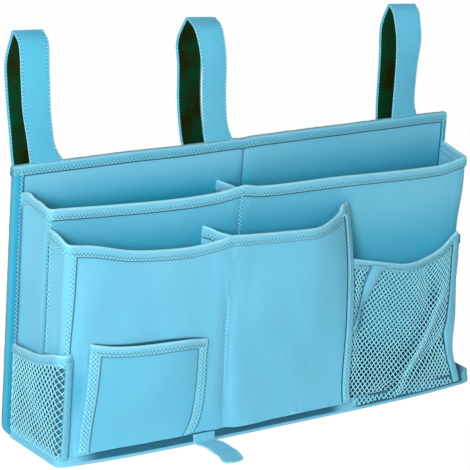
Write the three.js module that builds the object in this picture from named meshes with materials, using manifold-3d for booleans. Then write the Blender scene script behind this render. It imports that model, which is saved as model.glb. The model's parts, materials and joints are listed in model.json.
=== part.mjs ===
// Bedside caddy: a folding fabric organiser that hangs beside a bed from three hook-and-loop straps.
// Millimetres, +Z up, -Y towards the person who uses it, +X to that person's right.
// The origin is the middle of the base's underside.
import * as THREE from "three";
import { mergeVertices } from "three/addons/utils/BufferGeometryUtils.js";
import Module from "manifold-3d";

const wasm = await Module();
wasm.setup();

// Cloth, board and net: thicknesses, and the gap kept between two pieces that touch.
const cloth = 1;
const trim = 0.8;
const board = 2.4;
const net = 1;
const tape = 0.7;
const gap = 0.3;

// Back panel, which everything is sewn to.
const panelWidth = 520;
const panelHeight = 266;
const panelCornerRadius = 10;
const hemHeight = 11;
const panelEdgingWidth = 12;
const foldGap = 3;

// Body: two rows of pockets, one in front of the other.
const bodyWidth = 496;
const rearDepth = 50;
const frontDepth = 32;
const frontBow = 10;
const baseCornerRadius = 2.5;
const baseBandHeight = 8.5;
const edgingHeight = 10.5;
const edgingSag = 4.5;
const frontSag = 8;

// Heights of the pockets' top edges, and where their dividers stand.
const rearWallLeftHeight = 237;
const rearWallDividerHeight = 235.5;
const rearWallRightHeight = 232;
const rearGussetLeftHeight = 242;
const rearGussetRightHeight = 239;
const frontWallLeftHeight = 214;
const frontWallDividerHeight = 198.5;
const frontWallRightHeight = 202;
const frontGussetHeight = 217;
const rearDividerHeight = 228;
const frontDividerHeight = 196;
const rearDividerBackX = -29;
const rearDividerFrontX = -35;
const frontDividerBackX = -79;
const frontDividerFrontX = -66;

// Right end of the front wall, which leans back to the rear wall at its top.
const frontWallEndX = 93;
const frontPullStartX = 30;
const stripWidth = 10.5;

// Patch pocket on the front wall: its corners, and how far its mouth gapes.
const patchTopLeftX = -217;
const patchTopRightX = -89;
const patchFootLeftX = -224;
const patchFootRightX = -107;
const patchLeftHeight = 114;
const patchRightHeight = 100;
const patchDip = 2.5;
const patchGape = 8.5;
const patchHemHeight = 10;

// Net pockets: one at the front right and one on each side.
const frontNetLeftHeight = 151;
const frontNetRightHeight = 150;
const frontNetSag = 16;
const frontNetFootRightX = 238;
const frontNetTopRightX = 244;
const frontNetBelly = 9;
const frontBandHeight = 9;
const leftNetRearHeight = 98;
const leftNetFrontHeight = 113;
const rightNetRearHeight = 136;
const rightNetFrontHeight = 146;
const sideNetBelly = 8.5;
const sideBandHeight = 11.5;
const netMargin = 5;
const strandWidth = 2.6;

// Straps. Each loop leaves the hem, folds at its peak and comes down behind the panel.
const strapWidth = 28;
const tapeWidth = 24;
const loopHeight = 114;
const landingLift = 7;
const leftStrapX = -228;
const centerStrapX = -33;
const rightStrapX = 198;
const leftPeakDepth = 40;
const centerPeakDepth = 40;
const rightPeakDepth = 22;
const leftLoopDepth = 51;
const centerLoopDepth = 57;
const rightLoopDepth = 34;
const straps = [
  { side: "left", middle: leftStrapX, peakDepth: leftPeakDepth, loopDepth: leftLoopDepth },
  { side: "center", middle: centerStrapX, peakDepth: centerPeakDepth, loopDepth: centerLoopDepth },
  { side: "right", middle: rightStrapX, peakDepth: rightPeakDepth, loopDepth: rightLoopDepth },
];
const patchTapeWidth = 32;
const patchTapeHeight = 44;
const patchTapeDrop = 42;

// Bottom strap, sewn into the front seam of the base.
const flapMiddleX = -92.5;
const flapWidth = 24;
const flapLength = 53;
const flapSwingRoom = 0.95;
const flapTipRadius = 5;

// Places worked out from the sizes above.
const bodyHalf = bodyWidth / 2;
const halfDepth = (rearDepth + frontDepth) / 2;
const panelFace = halfDepth;
const rearWallFace = panelFace - rearDepth;
const frontWallFace = -halfDepth;
const edgingBuild = gap + trim;
const liningBack = panelFace + cloth;
const boardFace = liningBack + gap;
const coverFace = boardFace + board + gap;
const panelBack = coverFace + cloth;
const panelTop = panelHeight - edgingBuild;
const panelFoot = gap;
const baseBoardBottom = cloth + gap;
const baseLiningBottom = baseBoardBottom + board + gap;
const floorTop = baseLiningBottom + cloth;
const wallFoot = floorTop + gap;
const overrun = frontBow;

const blue = (name) => new THREE.MeshStandardMaterial({ name, color: 0x62bfdc, roughness: 0.85, metalness: 0 });
const paleBlue = (name) => new THREE.MeshStandardMaterial({ name, color: 0x74cde6, roughness: 0.8, metalness: 0 });
const darkTape = (name) => new THREE.MeshStandardMaterial({ name, color: 0x0a3322, roughness: 0.95, metalness: 0 });
const grayBoard = (name) => new THREE.MeshStandardMaterial({ name, color: 0xa9a294, roughness: 0.9, metalness: 0 });

const { lerp, smoothstep } = THREE.MathUtils;
const caddy = new THREE.Group();

function add(name, geometry, material, parent = caddy) {
  const mesh = new THREE.Mesh(geometry, material(name));
  mesh.name = name;
  parent.add(mesh);
  return mesh;
}

// Surfaces: a function of a share along the piece and a share up it gives a point on its outer face.

function normalAt(surface, along, up) {
  const step = 1e-3;
  const ahead = surface(along + step, up).sub(surface(along - step, up));
  const above = surface(along, up + step).sub(surface(along, up - step));
  return ahead.cross(above).normalize();
}

const lifted = (surface, distance) => (along, up) =>
  surface(along, up).addScaledVector(normalAt(surface, along, up), distance);

// Moves each vertex of a geometry: x and y are shares along and up the surface, z is a height over it.
function laidOn(surface, geometry) {
  const places = geometry.getAttribute("position");
  for (let i = 0; i < places.count; i += 1) {
    const along = places.getX(i);
    const up = places.getY(i);
    const point = surface(along, up).addScaledVector(normalAt(surface, along, up), places.getZ(i));
    places.setXYZ(i, point.x, point.y, point.z);
  }
  geometry.computeVertexNormals();
  return geometry;
}

// A piece of cloth whose outer face is the surface.
function sheet(surface, stepsAlong, stepsUp, thickness = cloth) {
  const block = new THREE.BoxGeometry(1, 1, thickness, stepsAlong, stepsUp, 1);
  block.translate(1 / 2, 1 / 2, -thickness / 2);
  return laidOn(surface, block);
}

// An edging: a strip folded over the top edge of a cloth, as high as height on both sides.
function foldedOver(surface, wallHeight, height, steps, thickness = cloth) {
  const out = gap + trim;
  const section = new THREE.Shape([
    new THREE.Vector2(-out, -height),
    new THREE.Vector2(-gap, -height),
    new THREE.Vector2(-gap, gap),
    new THREE.Vector2(thickness + gap, gap),
    new THREE.Vector2(thickness + gap, -height),
    new THREE.Vector2(thickness + out, -height),
    new THREE.Vector2(thickness + out, out),
    new THREE.Vector2(-out, out),
  ]);
  const strip = new THREE.ExtrudeGeometry(section, { depth: 1, steps, bevelEnabled: false });
  const places = strip.getAttribute("position");
  for (let i = 0; i < places.count; i += 1) {
    const along = places.getZ(i);
    const up = 1 + places.getY(i) / wallHeight;
    const point = surface(along, up).addScaledVector(normalAt(surface, along, up), -places.getX(i));
    places.setXYZ(i, point.x, point.y, point.z);
  }
  strip.computeVertexNormals();
  return strip;
}

// A net: a plate with rows of diamond gaps, every other row shifted by half a gap.
function netOn(surface, width, height, columns, rows, edgeSteps) {
  const plate = new THREE.Shape();
  plate.moveTo(0, 0);
  for (let i = 1; i <= edgeSteps; i += 1) plate.lineTo((width * i) / edgeSteps, 0);
  for (let i = 1; i <= edgeSteps; i += 1) plate.lineTo(width, (height * i) / edgeSteps);
  for (let i = 1; i <= edgeSteps; i += 1) plate.lineTo(width - (width * i) / edgeSteps, height);
  for (let i = 1; i < edgeSteps; i += 1) plate.lineTo(0, height - (height * i) / edgeSteps);
  const pitchAlong = (width - netMargin - netMargin) / columns;
  const pitchUp = (height - netMargin - netMargin) / rows;
  const halfAlong = pitchAlong / 2 - strandWidth / 2;
  const halfUp = pitchUp - strandWidth / 2;
  for (let row = 0; row < rows - 1; row += 1) {
    const shifted = row % 2;
    for (let column = 0; column < columns - shifted; column += 1) {
      const x = netMargin + pitchAlong * (column + (1 + shifted) / 2);
      const y = netMargin + pitchUp * (row + 1);
      plate.holes.push(
        new THREE.Path([
          new THREE.Vector2(x - halfAlong, y),
          new THREE.Vector2(x, y + halfUp),
          new THREE.Vector2(x + halfAlong, y),
          new THREE.Vector2(x, y - halfUp),
        ]),
      );
    }
  }
  const flat = new THREE.ExtrudeGeometry(plate, { depth: net, bevelEnabled: false });
  flat.scale(1 / width, 1 / height, 1);
  flat.translate(0, 0, -net);
  return laidOn(surface, flat);
}

// The height of an edge that sags between its supports, which are pairs of a share along and a height.
function hangingEdge(supports, sag) {
  return (along) => {
    let i = 1;
    while (i < supports.length - 1 && along > supports[i][0]) i += 1;
    const [[from, low], [to, high]] = [supports[i - 1], supports[i]];
    const share = (along - from) / (to - from);
    return lerp(low, high, share) - sag * Math.sin(Math.PI * share);
  };
}

// Cuts with manifold-3d.

function solid(geometry) {
  const bare = geometry.clone();
  bare.deleteAttribute("normal");
  bare.deleteAttribute("uv");
  const merged = mergeVertices(bare, 1e-4);
  return new wasm.Manifold(
    new wasm.Mesh({
      numProp: 3,
      vertProperties: merged.getAttribute("position").array,
      triVerts: new Uint32Array(merged.index.array),
    }),
  );
}

function geometryOf(body) {
  const made = body.getMesh();
  const geometry = new THREE.BufferGeometry();
  geometry.setAttribute("position", new THREE.BufferAttribute(new Float32Array(made.vertProperties), 3));
  geometry.setIndex(new THREE.BufferAttribute(new Uint32Array(made.triVerts), 1));
  geometry.computeVertexNormals();
  return geometry;
}

// Outlines drawn in X and Z, pushed out from the face at y = front to the one at y = back.
function upright(shape, front, back) {
  const geometry = new THREE.ExtrudeGeometry(shape, { depth: back - front, bevelEnabled: false, curveSegments: 4 });
  geometry.rotateX(Math.PI / 2);
  geometry.translate(0, back, 0);
  return geometry;
}

// Outlines drawn in X and Y, pushed up from z = bottom to z = top.
function flat(shape, bottom, top) {
  const geometry = new THREE.ExtrudeGeometry(shape, { depth: top - bottom, bevelEnabled: false, curveSegments: 3 });
  geometry.translate(0, 0, bottom);
  return geometry;
}

function roundFooted(left, right, bottom, top, radius) {
  const shape = new THREE.Shape();
  shape.moveTo(left, top);
  shape.lineTo(left, bottom + radius);
  shape.quadraticCurveTo(left, bottom, left + radius, bottom);
  shape.lineTo(right - radius, bottom);
  shape.quadraticCurveTo(right, bottom, right, bottom + radius);
  shape.lineTo(right, top);
  return shape;
}

// Back panel: lining, two boards with a fold between them, and a cover, bound along its edges.

function buildBackPanel() {
  const half = panelWidth / 2;
  const clothHalf = half - edgingBuild;
  const outline = roundFooted(-clothHalf, clothHalf, panelFoot + edgingBuild, panelTop, panelCornerRadius);
  add("back_lining", upright(outline, panelFace, liningBack), blue);
  add("back_cover", upright(outline, coverFace, panelBack), blue);

  const boardHalf = clothHalf - edgingBuild;
  const boardFoot = panelFoot + edgingBuild + edgingBuild;
  const boardTop = panelTop - gap;
  for (const [name, side] of [["back_board_left", -1], ["back_board_right", 1]]) {
    const shape = new THREE.Shape();
    shape.moveTo(side * (foldGap / 2), boardFoot);
    shape.lineTo(side * (boardHalf - panelCornerRadius), boardFoot);
    shape.lineTo(side * boardHalf, boardFoot + panelCornerRadius);
    shape.lineTo(side * boardHalf, boardTop);
    shape.lineTo(side * (foldGap / 2), boardTop);
    add(name, upright(shape, boardFace, boardFace + board), grayBoard);
  }

  const edgingTop = panelHeight - hemHeight - gap;
  const rim = solid(
    upright(
      roundFooted(-half, half, panelFoot, edgingTop, panelCornerRadius + edgingBuild),
      panelFace - edgingBuild,
      panelBack + edgingBuild,
    ),
  );
  const inner = solid(
    upright(
      roundFooted(
        panelEdgingWidth - half,
        half - panelEdgingWidth,
        panelFoot + panelEdgingWidth,
        edgingTop + overrun,
        panelCornerRadius,
      ),
      panelFace - overrun,
      panelBack + overrun,
    ),
  );
  const slot = solid(
    upright(
      roundFooted(trim - half, half - trim, panelFoot + trim, edgingTop + overrun, panelCornerRadius + gap),
      panelFace - gap,
      panelBack + gap,
    ),
  );
  add("back_edging", geometryOf(rim.subtract(inner).subtract(slot)), paleBlue);

  const hemFoot = panelHeight - hemHeight;
  const hemBlock = new THREE.BoxGeometry(panelWidth, panelBack - panelFace + edgingBuild + edgingBuild, hemHeight);
  hemBlock.translate(0, (panelBack + panelFace) / 2, hemFoot + hemHeight / 2);
  const hemSlot = new THREE.BoxGeometry(
    panelWidth + overrun,
    panelBack - panelFace + gap + gap,
    hemHeight - trim + overrun,
  );
  hemSlot.translate(0, (panelBack + panelFace) / 2, panelHeight - trim - (hemHeight - trim + overrun) / 2);
  add("back_hem", geometryOf(solid(hemBlock).subtract(solid(hemSlot))), paleBlue);
}

// Base: a board between two cloths, with a band round its front and sides.

const bowAt = (x) => frontBow * (1 - Math.pow(Math.min(Math.abs(x) / bodyHalf, 1), 4));

function baseOutline(grow, back) {
  const half = bodyHalf + grow;
  const shape = new THREE.Shape();
  shape.moveTo(-half, back);
  const cornerX = half - baseCornerRadius;
  const front = (x) => frontWallFace - bowAt(x) - grow;
  shape.lineTo(-half, front(-cornerX) + baseCornerRadius);
  shape.quadraticCurveTo(-half, front(-cornerX), -cornerX, front(-cornerX));
  const steps = 14;
  for (let i = 1; i <= steps; i += 1) {
    const x = lerp(-cornerX, cornerX, i / steps);
    shape.lineTo(x, front(x));
  }
  shape.quadraticCurveTo(half, front(cornerX), half, front(cornerX) + baseCornerRadius);
  shape.lineTo(half, back);
  return shape;
}

function buildBase() {
  const back = panelFace - edgingBuild - gap;
  const bare = baseOutline(0, back);
  add("base_cover", flat(bare, 0, cloth), blue);
  add("base_board", flat(bare, baseBoardBottom, baseBoardBottom + board), grayBoard);
  add("base_lining", flat(bare, baseLiningBottom, floorTop), blue);
  const outer = solid(flat(baseOutline(edgingBuild, back), gap, baseBandHeight));
  const inner = solid(flat(baseOutline(gap, back + overrun), -overrun, baseBandHeight + overrun));
  add("base_band", geometryOf(outer.subtract(inner)), blue);
}

// Rear pockets: a front wall, a gusset at each end and a divider.

const wallHalf = bodyHalf - cloth - gap;
const dividerShare = (rearDividerFrontX + wallHalf) / (wallHalf + wallHalf);
const rearTop = hangingEdge(
  [[0, rearWallLeftHeight], [dividerShare, rearWallDividerHeight], [1, rearWallRightHeight]],
  edgingSag,
);

const rearWall = (along, up) => new THREE.Vector3(
  lerp(-wallHalf, wallHalf, along),
  rearWallFace,
  lerp(wallFoot, rearTop(along), up),
);

// The gussets' outer faces. Along runs to the front on the left and to the back on the right.
const rearGussetEnd = rearWallFace + edgingBuild + edgingBuild - trim;
const rearGussetStart = panelFace - edgingBuild - gap;

const rearGussetLeft = (along, up) => new THREE.Vector3(
  -bodyHalf,
  lerp(rearGussetStart, rearWallFace, along),
  lerp(wallFoot, lerp(rearGussetLeftHeight, rearWallLeftHeight, smoothstep(along, 0, 1)), up),
);

const rearGussetRight = (along, up) => new THREE.Vector3(
  bodyHalf,
  lerp(rearWallFace, rearGussetStart, along),
  lerp(wallFoot, lerp(rearWallRightHeight, rearGussetRightHeight, smoothstep(along, 0, 1)), up),
);

const rearDivider = (along, up) => new THREE.Vector3(
  lerp(rearDividerBackX, rearDividerFrontX, along),
  lerp(rearGussetStart, rearWallFace + cloth + edgingBuild + gap, along),
  lerp(wallFoot, rearDividerHeight - edgingSag * Math.sin(Math.PI * along), up),
);

// A stretch of a surface, so that a strip can stop short of its ends.
const stretch = (surface, from, to) => (along, up) => surface(lerp(from, to, along), up);

function buildRearPockets() {
  add("rear_wall", sheet(rearWall, 20, 2), blue);
  add("rear_gusset_left", sheet(rearGussetLeft, 6, 2), blue);
  add("rear_gusset_right", sheet(rearGussetRight, 6, 2), blue);
  add("rear_divider", sheet(rearDivider, 6, 2), blue);

  const wallLength = wallHalf + wallHalf;
  const cornerShare = (edgingBuild + gap) / wallLength;
  const front = stretch(rearWall, cornerShare, 1 - cornerShare);
  add("rear_edging_front", foldedOver(front, rearWallLeftHeight - wallFoot, edgingHeight, 20), paleBlue);
  const gussetLength = rearGussetStart - rearWallFace;
  const turnShare = (rearGussetEnd - rearWallFace + cloth) / gussetLength;
  const left = stretch(rearGussetLeft, 0, 1 - turnShare);
  const right = stretch(rearGussetRight, turnShare, 1);
  add("rear_edging_left", foldedOver(left, rearGussetLeftHeight - wallFoot, edgingHeight, 6), paleBlue);
  add("rear_edging_right", foldedOver(right, rearGussetRightHeight - wallFoot, edgingHeight, 6), paleBlue);
  const endShare = (edgingBuild + gap) / gussetLength;
  const bare = stretch(rearDivider, endShare, 1 - endShare);
  add("rear_divider_edging", foldedOver(bare, rearDividerHeight - wallFoot, edgingHeight, 6), paleBlue);
}

// Front pockets: a bowed wall whose right end leans back, a gusset at each end and a divider.

const frontStartX = cloth + gap - bodyHalf;
const frontLength = frontWallEndX - frontStartX;
const frontShareAt = (x) => (x - frontStartX) / frontLength;
const frontTop = hangingEdge(
  [
    [0, frontWallLeftHeight],
    [frontShareAt(frontDividerFrontX), frontWallDividerHeight],
    [1, frontWallRightHeight],
  ],
  frontSag,
);
const frontPull = frontDepth - cloth - gap - gap - trim;
const bowFadePower = 1.5;
const pullBuildPower = 3;

// The front wall's outer face at a place across it and a share of its height.
function frontWallY(x, up) {
  const bow = bowAt(x) * Math.pow(Math.max(1 - up, 0), bowFadePower);
  const reach = Math.max((x - frontPullStartX) / (frontWallEndX - frontPullStartX), 0);
  const pull = frontPull * Math.pow(reach, bowFadePower) * Math.pow(Math.max(up, 0), pullBuildPower);
  return frontWallFace - bow + pull;
}

const frontWall = (along, up) => {
  const x = frontStartX + frontLength * along;
  return new THREE.Vector3(x, frontWallY(x, up), lerp(wallFoot, frontTop(along), up));
};

const frontGussetLeft = (along, up) => new THREE.Vector3(
  -bodyHalf,
  lerp(rearWallFace - gap, frontWallFace + cloth, along),
  lerp(wallFoot, lerp(frontGussetHeight, frontWallLeftHeight, smoothstep(along, 0, 1)), up),
);

// The right gusset closes the front row behind the leaning end, up to the net's band.
const frontGussetRight = (along, up) => {
  const z = lerp(wallFoot, frontNetLeftHeight, up);
  const wallUp = (z - wallFoot) / (frontWallRightHeight - wallFoot);
  return new THREE.Vector3(
    frontWallEndX,
    lerp(frontWallY(frontWallEndX, wallUp) + cloth + gap + gap, rearWallFace - gap, along),
    z,
  );
};

const frontDivider = (along, up) => new THREE.Vector3(
  lerp(frontDividerBackX, frontDividerFrontX, along),
  lerp(rearWallFace - gap - gap, frontWallY(frontDividerFrontX, up) + cloth + edgingBuild + gap, along),
  lerp(wallFoot, frontDividerHeight, up),
);

function buildFrontPockets() {
  add("front_wall", sheet(frontWall, 22, 12), blue);
  add("front_gusset_left", sheet(frontGussetLeft, 4, 2), blue);
  add("front_gusset_right", sheet(frontGussetRight, 2, 5), blue);
  add("front_divider", sheet(frontDivider, 4, 4), blue);

  const cornerShare = (edgingBuild + gap) / frontLength;
  const front = stretch(frontWall, cornerShare, 1 - cornerShare);
  add("front_edging", foldedOver(front, frontWallDividerHeight - wallFoot, edgingHeight, 22), paleBlue);
  const turnShare = (edgingBuild + edgingBuild + cloth) / frontDepth;
  const side = stretch(frontGussetLeft, turnShare, 1 - turnShare);
  add("front_gusset_edging", foldedOver(side, frontGussetHeight - wallFoot, edgingHeight, 4), paleBlue);
  const bare = stretch(frontDivider, turnShare, 1 - turnShare);
  add("front_divider_edging", foldedOver(bare, frontDividerHeight - wallFoot, edgingHeight, 4), paleBlue);

  // Upright strips lie on the wall's face between the base band and the edging.
  const stripShare = stripWidth / frontLength;
  const wallHeight = frontWallDividerHeight - wallFoot;
  const stripFoot = (baseBandHeight + gap - wallFoot) / wallHeight;
  const stripTop = 1 - (edgingHeight + gap + gap) / wallHeight;
  const strip = (from, to) => lifted(
    (along, up) => frontWall(lerp(from, to, along), lerp(stripFoot, stripTop, up)),
    gap + trim,
  );
  add("front_corner_strip", sheet(strip(0, stripShare), 1, 8, trim), paleBlue);
  add("front_end_strip", sheet(strip(1 - stripShare, 1), 2, 12, trim), paleBlue);
}

// Patch pocket: sewn to the front wall at its sides and foot, with a mouth that gapes a little.

const gapeUpPower = 0.4;

const patchFace = (along, up) => {
  const top = lerp(patchLeftHeight, patchRightHeight, along) - patchDip * Math.sin(Math.PI * along);
  const z = lerp(baseBandHeight + gap, top, up);
  const left = lerp(patchFootLeftX, patchTopLeftX, up);
  const right = lerp(patchFootRightX, patchTopRightX, up);
  const x = lerp(left, right, along);
  const wallUp = (z - wallFoot) / (frontTop(frontShareAt(x)) - wallFoot);
  const gape = patchGape * Math.sin(Math.PI * along) * Math.pow(Math.max(up, 0), gapeUpPower);
  return new THREE.Vector3(x, frontWallY(x, wallUp) - gap - cloth - gape, z);
};

function buildPatchPocket() {
  add("patch_pocket", sheet(patchFace, 12, 6), blue);
  const endShare = (edgingBuild + gap) / (patchTopRightX - patchTopLeftX) + gap / patchGape;
  const middle = stretch(patchFace, endShare, 1 - endShare);
  add("patch_edging", foldedOver(middle, patchRightHeight - baseBandHeight, patchHemHeight, 12), paleBlue);
}

// Net pockets.

const netFoot = baseBandHeight + gap;
const netFlarePower = 2.2;
const bellyFadeShare = 0.75;

const frontNet = (along, up) => {
  const startX = frontWallEndX + gap + gap;
  const foot = new THREE.Vector2(lerp(startX, frontNetFootRightX, along), 0);
  foot.y = frontWallFace - bowAt(foot.x);
  const endUp = (frontNetLeftHeight - wallFoot) / (frontWallRightHeight - wallFoot);
  const mouth = new THREE.Vector2(
    lerp(startX, frontNetTopRightX, along),
    lerp(frontWallY(frontWallEndX, endUp), rearWallFace - gap - net - gap - trim - gap, along),
  );
  const flare = Math.pow(Math.max(1 - up, 0), netFlarePower);
  const belly = frontNetBelly * Math.sin(Math.PI * along) * Math.sin(Math.PI * up * bellyFadeShare);
  const top = lerp(frontNetLeftHeight, frontNetRightHeight, along) - frontNetSag * Math.sin(Math.PI * along);
  return new THREE.Vector3(
    lerp(mouth.x, foot.x, flare),
    lerp(mouth.y, foot.y, flare) - belly,
    lerp(netFoot, top, up),
  );
};

const sideBelly = (along, up) => sideNetBelly * Math.sin(Math.PI * along) * Math.sqrt(Math.max(up, 0));
const sideNetFace = bodyHalf + gap + trim + gap + net;

const leftNet = (along, up) => new THREE.Vector3(
  -sideNetFace - sideBelly(along, up),
  lerp(rearGussetStart - gap, frontWallFace - gap, along),
  lerp(netFoot, lerp(leftNetRearHeight, leftNetFrontHeight, along), up),
);

const rightNet = (along, up) => new THREE.Vector3(
  sideNetFace + sideBelly(along, up),
  lerp(rearWallFace - gap, rearGussetStart - gap, along),
  lerp(netFoot, lerp(rightNetFrontHeight, rightNetRearHeight, along), up),
);

// A net with its band: the band's share of the height is measured where the pocket is lowest.
function addNetPocket(name, surface, width, height, bandHeight, columns, rows, steps) {
  const bandFoot = 1 - bandHeight / height;
  const netTop = bandFoot - gap / height;
  const below = (along, up) => surface(along, up * netTop);
  const above = (along, up) => surface(along, lerp(bandFoot, 1, up));
  add(name, netOn(below, width, height * netTop, columns, rows, steps), paleBlue);
  add(`${name}_band`, sheet(lifted(above, trim), steps, 1, net + trim + trim), blue);
}

function buildNetPockets() {
  const frontWidth = frontNetTopRightX - frontWallEndX;
  const frontHeight = frontNetLeftHeight - frontNetSag - netFoot;
  addNetPocket("front_net", frontNet, frontWidth, frontHeight, frontBandHeight, 11, 10, 14);
  const leftWidth = rearGussetStart - frontWallFace;
  addNetPocket("left_net", leftNet, leftWidth, leftNetRearHeight - netFoot, sideBandHeight, 7, 7, 8);
  const rightWidth = rearGussetStart - rearWallFace;
  addNetPocket("right_net", rightNet, rightWidth, rightNetRearHeight - netFoot, sideBandHeight, 4, 10, 8);
}

// Straps. The outer face of a loop is one curve from the hem over the peak and down the back.

const seamY = panelFace - edgingBuild + gap;
const seamZ = panelHeight + gap;
const frontDepthShares = [0, 0.04, 0.3, 0.6, 1];
const frontHeightShares = [0, 0.1, 0.42, 0.76, 1];
const backBellyShares = [1, 0.92, 0.62];
const backBellyHeightShares = [0.78, 0.48, -0.06];
const landingHeightShares = [-0.24, -0.36, -0.5, -0.72];
const landingLiftShares = [1, 0.24, 0.06, 0];

const outFromPanel = panelBack + gap + tape + gap + tape + gap + cloth - seamY;

function strapCurves({ peakDepth, loopDepth }) {
  const rise = frontDepthShares.map(
    (share, i) => new THREE.Vector2(share * peakDepth, frontHeightShares[i] * loopHeight),
  );
  const peak = rise.at(-1);
  const fall = backBellyShares.map(
    (share, i) => new THREE.Vector2(share * loopDepth - peak.x, backBellyHeightShares[i] * loopHeight - peak.y),
  );
  const landing = landingHeightShares.map(
    (share, i) => new THREE.Vector2(
      outFromPanel + landingLiftShares[i] * landingLift - peak.x,
      share * loopHeight - peak.y,
    ),
  );
  return {
    peak,
    rise: new THREE.SplineCurve(rise),
    fall: new THREE.SplineCurve([new THREE.Vector2(0, 0), ...fall, ...landing]),
  };
}

// A layer of a strap between two depths under its outer face. Its end at the peak is cut upright.
function layer(curve, near, far, steps, peakShare, width) {
  const towards = peakShare === 1 ? 1 : -1;
  const cut = curve.getPoint(peakShare).x - towards * (gap / 2);
  const side = (depth) => {
    const points = [];
    for (let i = 1; i <= steps; i += 1) {
      const share = peakShare === 1 ? 1 - i / steps : i / steps;
      const point = curve.getPoint(share);
      const ahead = curve.getTangent(share);
      const moved = new THREE.Vector2(point.x + ahead.y * depth, point.y - ahead.x * depth);
      const clear = (cut - moved.x) * towards > gap;
      if (clear && !points.length) {
        const rest = (cut - moved.x) / ahead.x;
        points.push(new THREE.Vector2(cut, moved.y + ahead.y * rest));
      }
      if (points.length) points.push(moved);
    }
    return points;
  };
  const shape = new THREE.Shape([...side(near), ...side(far).reverse()]);
  const geometry = new THREE.ExtrudeGeometry(shape, { depth: width, bevelEnabled: false });
  geometry.translate(0, 0, -width / 2);
  const turn = new THREE.Matrix4().makeBasis(
    new THREE.Vector3(0, 1, 0),
    new THREE.Vector3(0, 0, 1),
    new THREE.Vector3(1, 0, 0),
  );
  return geometry.applyMatrix4(turn);
}

function buildStraps() {
  const tapeNear = cloth + gap;
  const tapeFar = tapeNear + tape;
  for (const strap of straps) {
    const { peak, rise, fall } = strapCurves(strap);
    const frontLeg = new THREE.Group();
    frontLeg.position.set(strap.middle, seamY, seamZ);
    caddy.add(frontLeg);
    add(`strap_${strap.side}_front`, layer(rise, 0, cloth, 14, 1, strapWidth), blue, frontLeg);
    add(`strap_${strap.side}_front_tape`, layer(rise, tapeNear, tapeFar, 14, 1, tapeWidth), darkTape, frontLeg);
    const backLeg = new THREE.Group();
    backLeg.position.set(0, peak.x, peak.y);
    frontLeg.add(backLeg);
    add(`strap_${strap.side}_back`, layer(fall, 0, cloth, 20, 0, strapWidth), blue, backLeg);
    add(`strap_${strap.side}_back_tape`, layer(fall, tapeNear, tapeFar, 20, 0, tapeWidth), darkTape, backLeg);

    const patch = new THREE.BoxGeometry(patchTapeWidth, tape, patchTapeHeight);
    patch.translate(
      strap.middle,
      panelBack + gap + tape / 2,
      panelHeight - patchTapeDrop - patchTapeHeight / 2,
    );
    add(`loop_patch_${strap.side}`, patch, darkTape);
  }
}

// Bottom strap: a short root over the base band, and a flap that lies on the floor.

function buildBottomStrap() {
  const thickness = cloth + gap + tape;
  const bandFace = frontWallFace - bowAt(flapMiddleX) - edgingBuild;
  const rootBack = bandFace - gap;
  const rootFace = rootBack - cloth;
  const crease = baseBandHeight + gap;
  const root = new THREE.Shape([
    new THREE.Vector2(rootBack, gap),
    new THREE.Vector2(rootBack, crease),
    new THREE.Vector2(rootBack + trim + gap + gap, crease),
    new THREE.Vector2(rootBack + trim + gap + gap, crease + cloth),
    new THREE.Vector2(rootFace, crease + cloth),
    new THREE.Vector2(rootFace, gap),
  ]);
  const rootGeometry = new THREE.ExtrudeGeometry(root, { depth: flapWidth, bevelEnabled: false });
  const turn = new THREE.Matrix4().makeBasis(
    new THREE.Vector3(0, 1, 0),
    new THREE.Vector3(0, 0, 1),
    new THREE.Vector3(1, 0, 0),
  );
  rootGeometry.applyMatrix4(turn);
  rootGeometry.translate(flapMiddleX - flapWidth / 2, 0, 0);
  add("bottom_strap_root", rootGeometry, blue);

  const flap = new THREE.Group();
  flap.position.set(flapMiddleX, rootFace - flapSwingRoom, thickness - cloth / 2);
  caddy.add(flap);
  const tongue = (width, start, length) => {
    const shape = new THREE.Shape();
    shape.moveTo(-width / 2, -start);
    shape.lineTo(-width / 2, flapTipRadius - length);
    shape.quadraticCurveTo(-width / 2, -length, flapTipRadius - width / 2, -length);
    shape.lineTo(width / 2 - flapTipRadius, -length);
    shape.quadraticCurveTo(width / 2, -length, width / 2, flapTipRadius - length);
    shape.lineTo(width / 2, -start);
    return shape;
  };
  const inset = (strapWidth - tapeWidth) / 2;
  const tapeTop = -cloth / 2 - gap;
  add("bottom_strap_flap", flat(tongue(flapWidth, 0, flapLength), -cloth / 2, cloth / 2), blue, flap);
  add(
    "bottom_strap_tape",
    flat(tongue(flapWidth - inset - inset, inset, flapLength - inset), tapeTop - tape, tapeTop),
    darkTape,
    flap,
  );
}

buildBackPanel();
buildBase();
buildRearPockets();
buildFrontPockets();
buildPatchPocket();
buildNetPockets();
buildStraps();
buildBottomStrap();

export default caddy;
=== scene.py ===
# %% [markdown]
# # A bedside caddy
# The caddy is a hanging fabric organiser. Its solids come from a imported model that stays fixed, and this
# file gives them their looks: woven cloth, bound edges, stitches, nets and straps. All sizes are metres, in
# the model's own frame: +X along the panel, +Y towards the bed, +Z up.

import json
import math

import bmesh
import bpy
from mathutils import Matrix, Vector, noise


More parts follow.
